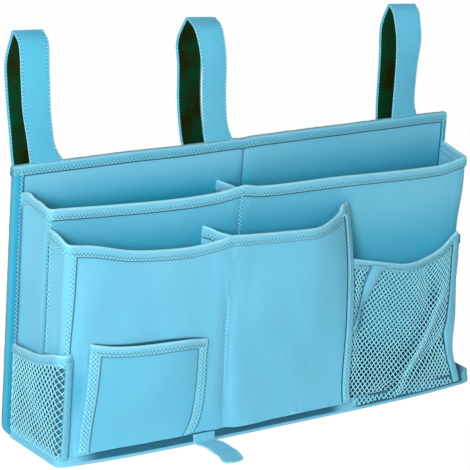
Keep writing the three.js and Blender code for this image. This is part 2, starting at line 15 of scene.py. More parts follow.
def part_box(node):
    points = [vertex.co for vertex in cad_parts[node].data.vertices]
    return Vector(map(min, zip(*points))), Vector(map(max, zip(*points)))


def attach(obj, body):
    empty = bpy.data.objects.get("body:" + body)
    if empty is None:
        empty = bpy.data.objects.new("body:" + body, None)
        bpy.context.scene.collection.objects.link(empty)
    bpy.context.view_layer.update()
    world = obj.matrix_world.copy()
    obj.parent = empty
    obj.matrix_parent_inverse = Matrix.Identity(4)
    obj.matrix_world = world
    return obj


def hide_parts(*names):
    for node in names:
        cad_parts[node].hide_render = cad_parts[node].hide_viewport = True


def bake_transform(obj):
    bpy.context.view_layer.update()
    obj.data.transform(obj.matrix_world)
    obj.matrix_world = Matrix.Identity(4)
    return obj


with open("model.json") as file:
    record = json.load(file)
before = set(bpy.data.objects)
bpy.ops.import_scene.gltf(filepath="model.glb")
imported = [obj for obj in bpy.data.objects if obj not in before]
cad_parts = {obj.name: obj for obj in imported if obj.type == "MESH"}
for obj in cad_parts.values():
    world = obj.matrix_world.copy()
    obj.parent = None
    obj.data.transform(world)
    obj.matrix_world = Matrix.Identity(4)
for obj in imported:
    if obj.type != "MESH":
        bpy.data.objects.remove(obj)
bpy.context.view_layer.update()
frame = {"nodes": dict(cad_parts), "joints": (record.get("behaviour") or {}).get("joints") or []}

# %% [markdown]
# The camera comes first, because every later choice is judged through it. Its angle, roll and distance were
# fitted to the corners of the panel, walls and base. The focal length is in pixels of a 470 pixel square
# picture, and the small shift says where the middle of the lens falls in that picture.

# %% Camera
photo_side = 470
focal_pixels = 2458.16
lens_middle_x = 241.02
lens_middle_y = 231.82
sensor_width = 36.0
camera_azimuth = math.radians(-37.08)
camera_elevation = math.radians(17.38)
camera_roll = math.radians(3.97)
camera_distance = 2.3563
camera_target = Vector((-0.02473, 0.0010, 0.18564))


def make_camera():
    level = math.cos(camera_elevation)
    back = Vector(
        (math.sin(camera_azimuth) * level, -math.cos(camera_azimuth) * level, math.sin(camera_elevation))
    )
    right = (-back).cross(Vector((0, 0, 1))).normalized()
    up = right.cross(-back)
    turn = Matrix.Rotation(camera_roll, 3, back)
    right, up = turn @ right, turn @ up
    data = bpy.data.cameras.new("camera")
    data.sensor_width = sensor_width
    data.lens = focal_pixels * sensor_width / photo_side
    data.shift_x = (photo_side / 2 - lens_middle_x) / photo_side
    data.shift_y = (lens_middle_y - photo_side / 2) / photo_side
    camera = bpy.data.objects.new("camera", data)
    bpy.context.scene.collection.objects.link(camera)
    camera.matrix_world = Matrix((right, up, back)).transposed().to_4x4()
    camera.location = camera_target + back * camera_distance
    bpy.context.scene.camera = camera
    print("lens", round(data.lens, 2), "mm, roll", round(math.degrees(camera_roll), 2), "degrees")


make_camera()

# %% [markdown]
# Light, materials and stitches are all made of nodes. These functions place a node, fill its inputs and
# start a group, so that the cells below only say what is joined to what.

# %% Node helpers
def fill(tree, socket, value):
    """Links a socket, or sets it where the value is a plain one."""
    if isinstance(value, bpy.types.NodeSocket):
        tree.links.new(value, socket)
    else:
        socket.default_value = value


def add_node(tree, kind, inputs=None, **settings):
    """A node with its settings made first and its inputs filled after. Gives its outputs."""
    node = tree.nodes.new(kind)
    for name, value in settings.items():
        setattr(node, name, value)
    for key, value in (inputs or {}).items():
        fill(tree, node.inputs[key], value)
    return node.outputs


def math_node(tree, operation, first, second=None):
    """A Math node: each side is a socket or a number. Gives its output socket."""
    sides = {0: first} if second is None else {0: first, 1: second}
    return add_node(tree, "ShaderNodeMath", sides, operation=operation)[0]


def mix_colors(tree, share, first, second):
    """A colour mixer: share is a socket or a number, and each colour a socket or four numbers."""
    node = tree.nodes.new("ShaderNodeMix")
    node.data_type = "RGBA"
    for name, value in (("Factor", share), ("A", first), ("B", second)):
        fill(tree, next(s for s in node.inputs if s.name == name and s.enabled), value)
    return next(s for s in node.outputs if s.enabled)


def new_tree(kind, name, inputs, outputs):
    """A node group, with what it is given and what it gives. Inputs have a name, a type and a value."""
    tree = bpy.data.node_groups.new(name, kind)
    for label, form, value in inputs:
        socket = tree.interface.new_socket(label, in_out="INPUT", socket_type=f"NodeSocket{form}")
        if value is not None:
            socket.default_value = value
    for label, form in outputs:
        tree.interface.new_socket(label, in_out="OUTPUT", socket_type=f"NodeSocket{form}")
    return tree, tree.nodes.new("NodeGroupInput").outputs, tree.nodes.new("NodeGroupOutput").inputs


def empty_tree(holder):
    holder.use_nodes = True
    holder.node_tree.nodes.clear()
    return holder.node_tree


print("node helpers ready")

# %% [markdown]
# The studio is a pale floor, an even pale world and three broad lamps. A colour should render about as it
# is written, so the world and the key lamp together add up to about one. The floor and the world look white
# to the camera and to reflections, through Light Path, without putting that extra light on the cloth.

# %% Floor, world and lamps
world_strength = 0.16
floor_half_size = 6.0
floor_grey = 0.80
floor_glow_share = 0.92
floor_glow = 1.06
white = (1, 1, 1, 1)
lamps = {
    "key_lamp": {"place": (-1.50, -1.20, 0.75), "size": 0.7, "power": 35.0},
    "fill_lamp": {"place": (0.2, -2.2, 0.9), "size": 1.4, "power": 7.0},
    "top_lamp": {"place": (-0.4, -0.9, 2.2), "size": 1.2, "power": 5.0},
}
lamp_aim = Vector((0, 0, 0.15))


def seen_directly(tree):
    """The larger of Light Path's camera, glossy and transmission rays: 1 where the surface itself is seen."""
    rays = add_node(tree, "ShaderNodeLightPath")
    first = math_node(tree, "MAXIMUM", rays["Is Camera Ray"], rays["Is Glossy Ray"])
    return math_node(tree, "MAXIMUM", first, rays["Is Transmission Ray"])


def make_world():
    world = bpy.data.worlds.new("studio")
    tree = empty_tree(world)
    light = add_node(tree, "ShaderNodeBackground", {"Color": white, "Strength": world_strength})
    backdrop = add_node(tree, "ShaderNodeBackground", {"Color": white})
    choice = add_node(tree, "ShaderNodeMixShader", {"Fac": seen_directly(tree), 1: light[0], 2: backdrop[0]})
    add_node(tree, "ShaderNodeOutputWorld", {"Surface": choice[0]})
    bpy.context.scene.world = world


def make_floor():
    material = bpy.data.materials.new("pale floor")
    tree = empty_tree(material)
    matt = add_node(tree, "ShaderNodeBsdfDiffuse", {"Color": (floor_grey, floor_grey, floor_grey, 1)})
    glow = add_node(tree, "ShaderNodeEmission", {"Strength": floor_glow})
    share = math_node(tree, "MULTIPLY", seen_directly(tree), floor_glow_share)
    blend = add_node(tree, "ShaderNodeMixShader", {"Fac": share, 1: matt[0], 2: glow[0]})
    add_node(tree, "ShaderNodeOutputMaterial", {"Surface": blend[0]})
    mesh = bpy.data.meshes.new("floor")
    corners = [(a * floor_half_size, b * floor_half_size, 0) for a, b in ((-1, -1), (1, -1), (1, 1), (-1, 1))]
    mesh.from_pydata(corners, [], [(0, 1, 2, 3)])
    mesh.materials.append(material)
    floor = bpy.data.objects.new("floor", mesh)
    bpy.context.scene.collection.objects.link(floor)


def make_lamps():
    for name, lamp in lamps.items():
        data = bpy.data.lights.new(name, "AREA")
        data.shape = "DISK"
        data.size = lamp["size"]
        data.energy = lamp["power"]
        made = bpy.data.objects.new(name, data)
        made.location = lamp["place"]
        made.rotation_euler = (lamp_aim - made.location).to_track_quat("-Z", "Y").to_euler()
        bpy.context.scene.collection.objects.link(made)


make_world()
make_floor()
make_lamps()
bpy.context.scene.view_settings.view_transform = "Standard"
print("lamps", ", ".join(lamps))

# %% [markdown]
# The cloth is a coarse nylon weave, the colour of a summer sky. Four effects are shader node groups of
# their own: the weave itself, the uneven tone of cloth that has been folded and handled, painted light,
# which is shade painted into seams, slots and pockets and highlight painted on folded edges, and the short
# wrinkles beside a seam. The weave reads each piece's own UV map, which is in metres, so its threads follow
# the cloth.

# %% Shader groups
def noise_cloud(group, place, size, detail):
    """Soft noise with features of that size."""
    scale = math_node(group, "DIVIDE", 1.0, size)
    return add_node(group, "ShaderNodeTexNoise", {"Vector": place, "Scale": scale, "Detail": detail})["Fac"]


def make_weave_group():
    """Plain weave: at each crossing either the warp or the weft thread lies on top, as on a chessboard."""
    group, given, result = new_tree(
        "ShaderNodeTree",
        "Plain weave",
        [("Vector", "Vector", None), ("Threads per Metre", "Float", 1200.0)],
        [("Height", "Float"), ("Thread", "Float")],
    )
    split = add_node(group, "ShaderNodeSeparateXYZ", {0: given["Vector"]})
    turn = math_node(group, "MULTIPLY", given["Threads per Metre"], math.pi)
    across = math_node(group, "SINE", math_node(group, "MULTIPLY", split["X"], turn))
    along = math_node(group, "SINE", math_node(group, "MULTIPLY", split["Y"], turn))
    on_top = math_node(group, "GREATER_THAN", math_node(group, "MULTIPLY", across, along), 0.0)
    warp = math_node(group, "MULTIPLY", math_node(group, "ABSOLUTE", across), on_top)
    below = math_node(group, "SUBTRACT", 1.0, on_top)
    weft = math_node(group, "MULTIPLY", math_node(group, "ABSOLUTE", along), below)
    fill(group, result["Height"], math_node(group, "ADD", warp, weft))
    fill(group, result["Thread"], on_top)
    return group


def make_tone_group():
    """Uneven tone: broad soft patches from folding and a fine mottle from the yarn."""
    group, given, result = new_tree(
        "ShaderNodeTree",
        "Handled cloth",
        [("Vector", "Vector", None), ("Patch Size", "Float", 0.07), ("Mottle Size", "Float", 0.0018)],
        [("Patches", "Float"), ("Mottle", "Float")],
    )
    for label, size, detail in (("Patches", "Patch Size", 3.0), ("Mottle", "Mottle Size", 2.0)):
        fill(group, result[label], noise_cloud(group, given["Vector"], given[size], detail))
    return group


def make_painted_light_group():
    """Painted light: a colour lightened by a rim share, which is painted highlight and wear on folded edges,
    then darkened by a depth share and a crease share, which are both painted shade.
    """
    group, given, result = new_tree(
        "ShaderNodeTree",
        "Painted light",
        [
            ("Color", "Color", (0.5, 0.5, 0.5, 1)),
            ("Shade", "Color", (0.0, 0.05, 0.08, 1)),
            ("Crease", "Float", 0.0),
            ("Rim", "Float", 0.0),
            ("Rim Color", "Color", (0.5, 0.8, 0.9, 1)),
            ("Depth", "Float", 0.0),
            ("Depth Color", "Color", (0.0, 0.3, 0.45, 1)),
        ],
        [("Color", "Color")],
    )
    color = given["Color"]
    for share, tint in (("Rim", "Rim Color"), ("Depth", "Depth Color"), ("Crease", "Shade")):
        color = mix_colors(group, given[share], color, given[tint])
    fill(group, result["Color"], color)
    return group


def make_pucker_group():
    """Puckers: short soft wrinkles, stretched down the cloth, for places where a seam has drawn it in."""
    group, given, result = new_tree(
        "ShaderNodeTree",
        "Puckered cloth",
        [("Vector", "Vector", None), ("Wrinkle Size", "Float", 0.011)],
        [("Height", "Float")],
    )
    slanted = {"Vector": given["Vector"], "Rotation": (0, math.radians(35), 0), "Scale": (1.0, 1.0, 0.35)}
    place = add_node(group, "ShaderNodeMapping", slanted)
    fill(group, result["Height"], noise_cloud(group, place["Vector"], given["Wrinkle Size"], 1.0))
    return group


weave_group = make_weave_group()
tone_group = make_tone_group()
painted_light_group = make_painted_light_group()
pucker_group = make_pucker_group()
print("shader groups", weave_group.name, tone_group.name, painted_light_group.name, pucker_group.name)

# %% [markdown]
# Each finish gets its own material. The cloth's colour goes through the shared groups: first the uneven
# tone, then the weave, then the painted light, which reads three numbers at each point of the piece: a crease
# share of painted shade in shadow lines, slots and behind the nets, a rim share of painted highlight and wear
# on folded edges, and a depth share of painted shade deep in the pockets. A fourth number at each point says
# how strongly the cloth is puckered. A Principled shader stays in the material itself, with a little sheen,
# because woven nylon is fuzzy at grazing angles.

# %% Materials
sky_blue = (0.150, 0.560, 0.780, 1)
deep_blue = (0.075, 0.400, 0.600, 1)
pale_blue = (0.270, 0.700, 0.880, 1)
# Painted shade colour: shadow lines under tapes, the dark slot and the shade behind the nets.
painted_shade_teal = (0.000, 0.080, 0.140, 1)
# Painted shadow colour of the dark yarn between stitches.
stitch_shadow_teal = (0.000, 0.210, 0.340, 1)
# Painted shade colour deep inside the pockets.
painted_depth_blue = (0.000, 0.340, 0.520, 1)
# Rim colour: painted highlight and wear along folded edges.
rim_blue = (0.420, 0.850, 0.940, 1)
thread_blue = (0.390, 0.880, 0.980, 1)
net_blue = (0.390, 0.910, 1.000, 1)
tape_green = (0.001, 0.050, 0.018, 1)
tape_black = (0.012, 0.017, 0.001, 1)
board_grey = (0.360, 0.320, 0.250, 1)
board_dark = (0.230, 0.200, 0.150, 1)
patch_strength = 0.55
mottle_strength = 0.22
thread_strength = 0.05


def place_group(tree, group, inputs):
    return add_node(tree, "ShaderNodeGroup", inputs, node_tree=group)


def place_tone(tree, **sizes):
    """The tone group, in the piece's own coordinates."""
    where = add_node(tree, "ShaderNodeTexCoord")["Object"]
    named = {label.replace("_", " ").title(): size for label, size in sizes.items()}
    return place_group(tree, tone_group, {"Vector": where, **named})


def attribute_value(tree, name):
    return add_node(tree, "ShaderNodeAttribute", attribute_name=name)["Fac"]


def new_material(name, roughness, sheen, specular=0.22):
    """A material, its tree and the inputs of its Principled shader."""
    material = bpy.data.materials.new(name)
    material.use_nodes = True
    tree = material.node_tree
    shader = tree.nodes["Principled BSDF"].inputs
    shader["Roughness"].default_value = roughness
    shader["Specular IOR Level"].default_value = specular
    shader["Sheen Weight"].default_value = sheen
    shader["Sheen Roughness"].default_value = 0.5
    return material, tree, shader


def add_bump(tree, height, strength, distance, **below):
    """A Bump node, over another one's Normal where that is given. Gives its normal."""
    inputs = {"Strength": strength, "Distance": distance, "Height": height, **below}
    return add_node(tree, "ShaderNodeBump", inputs)["Normal"]


def make_cloth(name, base, worn, threads_per_metre, bump, sheen=0.12):
    """Woven cloth: base is its plain colour and worn the colour where it is rubbed or catches the light."""
    material, tree, shader = new_material(name, 0.78, sheen)
    where = add_node(tree, "ShaderNodeTexCoord")
    tone = place_tone(tree)
    weave = place_group(tree, weave_group, {"Threads per Metre": threads_per_metre, "Vector": where["UV"]})
    plain = mix_colors(tree, math_node(tree, "MULTIPLY", tone["Patches"], patch_strength), base, worn)
    mottle = math_node(tree, "MULTIPLY", tone["Mottle"], mottle_strength)
    crossing = math_node(tree, "MULTIPLY", weave["Thread"], thread_strength)
    threads = mix_colors(tree, crossing, mix_colors(tree, mottle, plain, deep_blue), worn)
    # The crease, rim and depth attributes paint shade and highlight into the colour: painted light.
    seams = {"Color": threads, "Shade": painted_shade_teal, "Rim Color": rim_blue, "Depth Color": painted_depth_blue}
    seams |= {label: attribute_value(tree, label.lower()) for label in ("Crease", "Rim", "Depth")}
    fill(tree, shader["Base Color"], place_group(tree, painted_light_group, seams)["Color"])
    puckers = place_group(tree, pucker_group, {"Vector": where["Object"]})
    gathered = math_node(tree, "MULTIPLY", puckers["Height"], attribute_value(tree, "pucker"))
    soft = add_bump(tree, gathered, 0.9, 0.0022)
    fill(tree, shader["Normal"], add_bump(tree, weave["Height"], bump, 0.0002, Normal=soft))
    return material


def make_plain(name, base, shade, roughness=0.6, sheen=0.1, mottle_size=0.0012):
    """Net yarn, sewing thread and board: too thin or too dense for a weave, so only the tone varies."""
    material, tree, shader = new_material(name, roughness, sheen)
    tone = place_tone(tree, mottle_size=mottle_size)
    fill(tree, shader["Base Color"], mix_colors(tree, tone["Mottle"], base, shade))
    return material


def make_tape(name):
    """Hook-and-loop tape: a nap of fine loops, near black, green where it catches the light."""
    material, tree, shader = new_material(name, 0.95, 0.0, specular=0.05)
    tone = place_tone(tree, patch_size=0.03, mottle_size=0.0012)
    stretched = {"From Min": 0.38, "From Max": 0.62, "Value": tone["Patches"]}
    bands = add_node(tree, "ShaderNodeMapRange", stretched)
    fill(tree, shader["Base Color"], mix_colors(tree, bands["Result"], tape_black, tape_green))
    fill(tree, shader["Normal"], add_bump(tree, tone["Mottle"], 0.8, 0.0004))
    return material


oxford_cloth = make_cloth("oxford cloth", sky_blue, pale_blue, 1400, 0.5)
edging_cloth = make_cloth("edging tape", sky_blue, pale_blue, 1800, 0.6, sheen=0.16)
net_yarn = make_plain("net yarn", net_blue, pale_blue)
sewing_thread = make_plain("sewing thread", thread_blue, net_blue)
# Dark thin yarn between the stitches: painted shadow in the stitch channel.
stitch_shadow_yarn = make_plain("stitch shadow", stitch_shadow_teal, painted_depth_blue)
dark_tape = make_tape("hook and loop tape")
grey_board = make_plain("grey board", board_grey, board_dark, roughness=0.9, sheen=0.0, mottle_size=0.003)
finishes = (oxford_cloth, edging_cloth, net_yarn, sewing_thread, stitch_shadow_yarn, dark_tape, grey_board)
print("materials", ", ".join(m.name for m in finishes))

# %% [markdown]
# Every cloth piece is a grid laid on a surface: a function that takes a distance along the piece and a
# share up it, and gives the place of the cloth's outer face. Everything that is sewn on, such as bindings
# and stitches, asks the same function where it lies, so nothing floats or sinks when a fold is added.

# %% Curves and surfaces
cloth = 0.001
grid_step = 0.005
sharp_angle = math.radians(55)
corner_steps = 5
probe_step = 0.0005


def mix(first, second, share):
    return first + (second - first) * share


def limited(value):
    return min(max(value, 0.0), 1.0)


def eased(value):
    share = limited(value)
    return share * share * (3 - 2 * share)


def line_through(points):
    """A smooth line through pairs of a place and a value: the slope at each point follows its neighbours."""
    last = len(points) - 1
    slopes = []
    for i in range(last + 1):
        before, after = points[max(i - 1, 0)], points[min(i + 1, last)]
        slopes.append((after[1] - before[1]) / (after[0] - before[0]))

    def at(place):
        i = 0
        while i < last - 1 and place > points[i + 1][0]:
            i += 1
        (start, low), (end, high) = points[i], points[i + 1]
        width = end - start
        share = limited((place - start) / width)
        rest = 1 - share
        ends = low * (1 + 2 * share) * rest * rest + high * (1 + 2 * rest) * share * share
        return ends + width * share * rest * (slopes[i] * rest - slopes[i + 1] * share)

    return at


def corner_path(corners, radius):
    """A line over corners in X and Y, each rounded: the place at a distance along it, and its length."""
    corners = [Vector(c) for c in corners]
    points = [corners[0]]
    for before, corner, after in zip(corners, corners[1:], corners[2:]):
        start = corner + (before - corner).normalized() * radius
        end = corner + (after - corner).normalized() * radius
        for i in range(corner_steps + 1):
            share = i / corner_steps
            points.append(start.lerp(corner, share).lerp(corner.lerp(end, share), share))
    points.append(corners[-1])
    distances = [0.0]
    for a, b in zip(points, points[1:]):
        distances.append(distances[-1] + (b - a).length)

    def at(distance):
        i = 0
        while i < len(points) - 2 and distance > distances[i + 1]:
            i += 1
        share = (distance - distances[i]) / (distances[i + 1] - distances[i])
        return points[i].lerp(points[i + 1], share)

    return at, distances[-1]


def crumple(place, size, depth, seed):
    """Soft folds: smooth noise of that size, always the same for the same seed."""
    return depth * noise.noise(Vector(place) / size + Vector((seed, seed * 2, -seed)))


def groove(distance, half_width):
    """1 in the middle of a groove, 0 outside it."""
    return max(0.0, 1 - abs(distance) / half_width)


def bell(distance, width):
    """1 at a place, fading softly on both sides of it."""
    return math.exp(-((distance / width) ** 2))


def arch(share):
    """0 at both ends of a share and 1 halfway."""
    return math.sin(math.pi * limited(share))


def even(start, end, step):
    """Numbers from start to end in even steps close to that step."""
    count = max(2, round(abs(end - start) / step))
    return [mix(start, end, i / count) for i in range(count + 1)]


def stops(length, step, marks):
    """Distances from 0 to length in even steps, with close steps at each mark: a place and a half width."""
    count = max(2, round(length / step))
    found = [length * i / count for i in range(count + 1)]
    for place, half in marks:
        close = [place - half * 2, place - half, place, place + half, place + half * 2]
        close = [c for c in close if 0 < c < length]
        found = [f for f in found if f in (0, length) or all(abs(f - c) > half * 0.6 for c in close)] + close
    return sorted(found)


def lay_on(surface, height, along, drop, lift):
    """A point so far along a cloth, down from its top edge and out of it."""
    up = 1 - drop / height
    down_step = probe_step / height
    ahead = surface(along + probe_step, up) - surface(along - probe_step, up)
    down = (surface(along, up - down_step) - surface(along, up + down_step)).normalized()
    return surface(along, up) + down.cross(ahead).normalized() * lift


print("curves and surfaces ready")


# %% [markdown]
# Two builders make nearly every mesh. One lays a closed sheet of cloth on a surface. The other carries a
# closed section along a row of stations, which is how bindings, bands, strips and straps are made: they are
# all one profile pulled along an edge. Both write a UV map in metres, so the weave keeps its real size.


def add_mesh(name, vertices, faces, uvs, material, attributes):
    mesh = bpy.data.meshes.new(name)
    mesh.from_pydata(vertices, [], faces)
    layer = mesh.uv_layers.new(name="cloth")
    layer.data.foreach_set("uv", [c for face in uvs for pair in face for c in pair])
    for label, values in attributes.items():
        mesh.attributes.new(label, "FLOAT", "POINT").data.foreach_set("value", values)
    mesh.materials.append(material)
    built = bmesh.new()
    built.from_mesh(mesh)
    if built.calc_volume(signed=True) < 0:
        bmesh.ops.reverse_faces(built, faces=built.faces)
    built.to_mesh(mesh)
    built.free()
    mesh.shade_smooth()
    mesh.set_sharp_from_angle(angle=sharp_angle)
    piece = bpy.data.objects.new(name, mesh)
    bpy.context.scene.collection.objects.link(piece)
    return piece


def finish_piece(piece, body, nodes=()):
    """Hides the CAD parts that a piece stands for, and parents it to its body."""
    if nodes:
        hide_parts(*nodes)
    if body:
        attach(piece, body)
    return piece


def lay_cloth(name, surface, length, height, nodes=(), material=oxford_cloth,
              thickness=cloth, marks=(), seams=(), step=grid_step, start=0.0, shade=None, depth=None,
              pucker=None):
    """A closed sheet on a surface, with close steps at marks along it and at seams below its top edge."""
    places = stops(length, step, marks)
    drops = stops(height, step, seams)
    columns, rows = len(places), len(drops)
    outer = [[surface(start + u, 1 - d / height) for u in places] for d in drops]
    vertices = [p for row in outer for p in row]
    for r in range(rows):
        for c in range(columns):
            ahead = outer[r][min(c + 1, columns - 1)] - outer[r][max(c - 1, 0)]
            above = outer[max(r - 1, 0)][c] - outer[min(r + 1, rows - 1)][c]
            vertices.append(outer[r][c] - ahead.cross(above).normalized() * thickness)
    inner = rows * columns
    faces, uvs = [], []

    def add_face(corners):
        faces.append([r * columns + c + side for r, c, side in corners])
        uvs.append([(start + places[c], -drops[r] - (thickness if side else 0)) for r, c, side in corners])

    for r in range(rows - 1):
        for c in range(columns - 1):
            add_face([(r + 1, c, 0), (r + 1, c + 1, 0), (r, c + 1, 0), (r, c, 0)])
            add_face([(r, c, inner), (r, c + 1, inner), (r + 1, c + 1, inner), (r + 1, c, inner)])
    for c in range(columns - 1):
        add_face([(0, c, 0), (0, c + 1, 0), (0, c + 1, inner), (0, c, inner)])
        add_face([(rows - 1, c, inner), (rows - 1, c + 1, inner), (rows - 1, c + 1, 0), (rows - 1, c, 0)])
    for r in range(rows - 1):
        add_face([(r, 0, 0), (r, 0, inner), (r + 1, 0, inner), (r + 1, 0, 0)])
        end = columns - 1
        add_face([(r + 1, end, 0), (r + 1, end, inner), (r, end, inner), (r, end, 0)])
    # Crease and depth are painted shade; pucker only bends the shading normal.
    attributes = {}
    for label, at in (("crease", shade), ("depth", depth), ("pucker", pucker)):
        if at:
            found = [at(start + u, d) for d in drops for u in places]
            attributes[label] = found + found
    return finish_piece(add_mesh(name, vertices, faces, uvs, material, attributes), "caddy", nodes)


def skin(name, rings, section, material, shade_at, depth, shade=0.0):
    """A closed tube over rings. Each row of the section has two offsets, a crease share of painted shade and
    a rim share of painted highlight and wear.
    """
    count, sides = len(rings), len(section)
    run = [0.0]
    for here, there in zip(rings, rings[1:]):
        run.append(run[-1] + (there[0] - here[0]).length)
    girth = [0.0]
    for (a, b, *_), (c, d, *_) in zip(section, section[1:] + section[:1]):
        girth.append(girth[-1] + math.hypot(c - a, d - b))
    faces, uvs = [], []
    for i in range(count - 1):
        for j in range(sides):
            here, there, following = i * sides, (i + 1) * sides, (j + 1) % sides
            faces.append([here + j, there + j, there + following, here + following])
            uvs.append([(run[i + a], girth[j + b]) for a, b in ((0, 0), (1, 0), (1, 1), (0, 1))])
    for i, order in ((0, range(sides)), (count - 1, range(sides - 1, -1, -1))):
        faces.append([i * sides + j for j in order])
        uvs.append([section[j][:2] for j in order])
    strength = [shade_at(i) if shade_at else 1.0 for i in range(count)]
    values = {
        "crease": [max(row[2] * strength[i], shade) for i in range(count) for row in section],
        "rim": [row[3] for _ in rings for row in section],
        "depth": [depth] * (count * sides),
    }
    return add_mesh(name, [p for ring in rings for p in ring], faces, uvs, material, values)


def carry(name, stations, section, material, shade_at=None, depth=0.0):
    """A section carried along stations: each is an origin and the directions of the section's two offsets."""
    rings = [[origin + a * row[0] + b * row[1] for row in section] for origin, a, b in stations]
    return skin(name, rings, section, material, shade_at, depth)


# %% [markdown]
# Stitches repeat every few millimetres along a line, and net yarn follows a zigzag, so both are Geometry
# Nodes. The stitch tree spaces small slim beads of thread along any line. The yarn tree gives a line its
# round thickness. Both end in Realize Instances and Set Material, and the result is then stored as a plain
# mesh.

# %% Stitch and yarn trees
stitch_pitch = 0.0036
stitch_length = 0.0026
thread_radius = 0.00042
yarn_radius = 0.00062


def end_tree(tree, given, result, geometry):
    real = add_node(tree, "GeometryNodeRealizeInstances", {0: geometry})
    paint = add_node(tree, "GeometryNodeSetMaterial", {"Geometry": real[0], "Material": given["Material"]})
    fill(tree, result["Geometry"], paint[0])
    return tree


def make_stitch_tree():
    tree, given, result = new_tree(
        "GeometryNodeTree",
        "Running stitch",
        [
            ("Geometry", "Geometry", None),
            ("Pitch", "Float", stitch_pitch),
            ("Stitch Length", "Float", stitch_length),
            ("Thread Radius", "Float", thread_radius),
            ("Seed", "Int", 7),
            ("Material", "Material", None),
        ],
        [("Geometry", "Geometry")],
    )
    line = add_node(tree, "GeometryNodeMeshToCurve", {"Mesh": given["Geometry"]})
    spaced = {"Curve": line["Curve"], "Length": given["Pitch"]}
    points = add_node(tree, "GeometryNodeResampleCurve", spaced, mode="LENGTH")
    bead = add_node(tree, "GeometryNodeMeshUVSphere", {"Segments": 6, "Rings": 4, "Radius": 1.0})
    half = math_node(tree, "DIVIDE", given["Stitch Length"], 2.0)
    sides = {"X": given["Thread Radius"], "Y": given["Thread Radius"], "Z": half}
    size = add_node(tree, "ShaderNodeCombineXYZ", sides)
    tangent = add_node(tree, "GeometryNodeInputTangent")
    turn = add_node(tree, "FunctionNodeAlignRotationToVector", {"Vector": tangent["Tangent"]}, axis="Z")
    uneven = tree.nodes.new("FunctionNodeRandomValue")
    uneven.data_type = "FLOAT"
    low, high = (s for s in uneven.inputs if s.name in ("Min", "Max") and s.enabled)
    low.default_value, high.default_value = 0.8, 1.1
    fill(tree, uneven.inputs["Seed"], given["Seed"])
    factor = next(s for s in uneven.outputs if s.enabled)
    scale = add_node(tree, "ShaderNodeVectorMath", {0: size["Vector"], "Scale": factor}, operation="SCALE")
    each = {"Points": points["Curve"], "Instance": bead["Mesh"], "Rotation": turn["Rotation"]}
    beads = add_node(tree, "GeometryNodeInstanceOnPoints", {**each, "Scale": scale["Vector"]})
    return end_tree(tree, given, result, beads["Instances"])


def make_yarn_tree():
    tree, given, result = new_tree(
        "GeometryNodeTree",
        "Net yarn",
        [
            ("Geometry", "Geometry", None),
            ("Yarn Radius", "Float", yarn_radius),
            ("Sides", "Int", 5),
            ("Material", "Material", None),
        ],
        [("Geometry", "Geometry")],
    )
    line = add_node(tree, "GeometryNodeMeshToCurve", {"Mesh": given["Geometry"]})
    section = {"Resolution": given["Sides"], "Radius": given["Yarn Radius"]}
    ring = add_node(tree, "GeometryNodeCurvePrimitiveCircle", section)
    tube = {"Curve": line["Curve"], "Profile Curve": ring["Curve"], "Fill Caps": True}
    return end_tree(tree, given, result, add_node(tree, "GeometryNodeCurveToMesh", tube)["Mesh"])


def grow(name, lines, tree, settings):
    """Runs a node tree on rows of points and gives the plain mesh it makes."""
    mesh = bpy.data.meshes.new(name)
    edges, first = [], 0
    for line in lines:
        edges += [(first + i, first + i + 1) for i in range(len(line) - 1)]
        first += len(line)
    mesh.from_pydata([p for line in lines for p in line], edges, [])
    piece = bpy.data.objects.new(name, mesh)
    bpy.context.scene.collection.objects.link(piece)
    modifier = piece.modifiers.new("make", "NODES")
    modifier.node_group = tree
    sockets = {s.name: s.identifier for s in tree.interface.items_tree if s.in_out == "INPUT"}
    for label, value in settings.items():
        modifier[sockets[label]] = value
    ready = piece.evaluated_get(bpy.context.evaluated_depsgraph_get())
    made = bpy.data.meshes.new_from_object(ready)
    piece.modifiers.clear()
    piece.data = made
    made.shade_smooth()
    return piece


stitch_tree = make_stitch_tree()
yarn_tree = make_yarn_tree()


def stitch(name, lines, body="caddy", pitch=stitch_pitch, length=stitch_length, radius=thread_radius):
    """Rows of running stitch in pale thread along lines of points."""
    settings = {"Pitch": pitch, "Stitch Length": length, "Thread Radius": radius, "Material": sewing_thread}
    piece = grow(name, lines, stitch_tree, settings)
    return finish_piece(piece, body)


def sew(name, lines):
    """Zigzag seams, and a painted shadow between their stitches: the same zigzags turned over, dark and
    thinner.
    """
    turned = [[(before + after) / 2 for before, after in zip(line, line[2:])] for line in lines]
    threads = {"Yarn Radius": seam_radius, "Sides": 4, "Material": sewing_thread}
    stitch_shadows = {"Yarn Radius": stitch_shadow_radius, "Sides": 4, "Material": stitch_shadow_yarn}
    pieces = [grow(name, lines, yarn_tree, threads), grow(f"{name}_dents", turned, yarn_tree, stitch_shadows)]
    return [finish_piece(piece, "caddy") for piece in pieces]


print("trees", stitch_tree.name, yarn_tree.name)

# %% [markdown]
# A binding is a tape folded over a raw edge and sewn through with a zigzag. Its profile stands a millimetre
# proud, dips under the stitches and rounds over the top. A dark, thinner zigzag between the threads is
# painted shadow in the stitch channel. Below the tape runs a thin lip painted in deep shade, standing for
# the shadow line under the tape's edge. Every ring of the tape is laid on the cloth it covers, so it follows
# each fold.

# %% Bindings
binding_height = 0.0092
binding_proud = 0.00125
binding_step = 0.003
stitch_inset = 0.0024
lip = 0.0011
# How dark the painted shade on the lip is.
lip_shade = 0.95
pucker_size = 0.0045
seam_radius = 0.00042
# Thickness of the painted shadow yarn between stitches.
stitch_shadow_radius = 0.00028
zigzag_half = 0.0012
zigzag_step = 0.0020
back_stitch_out = 0.0009
puff_share = 0.22


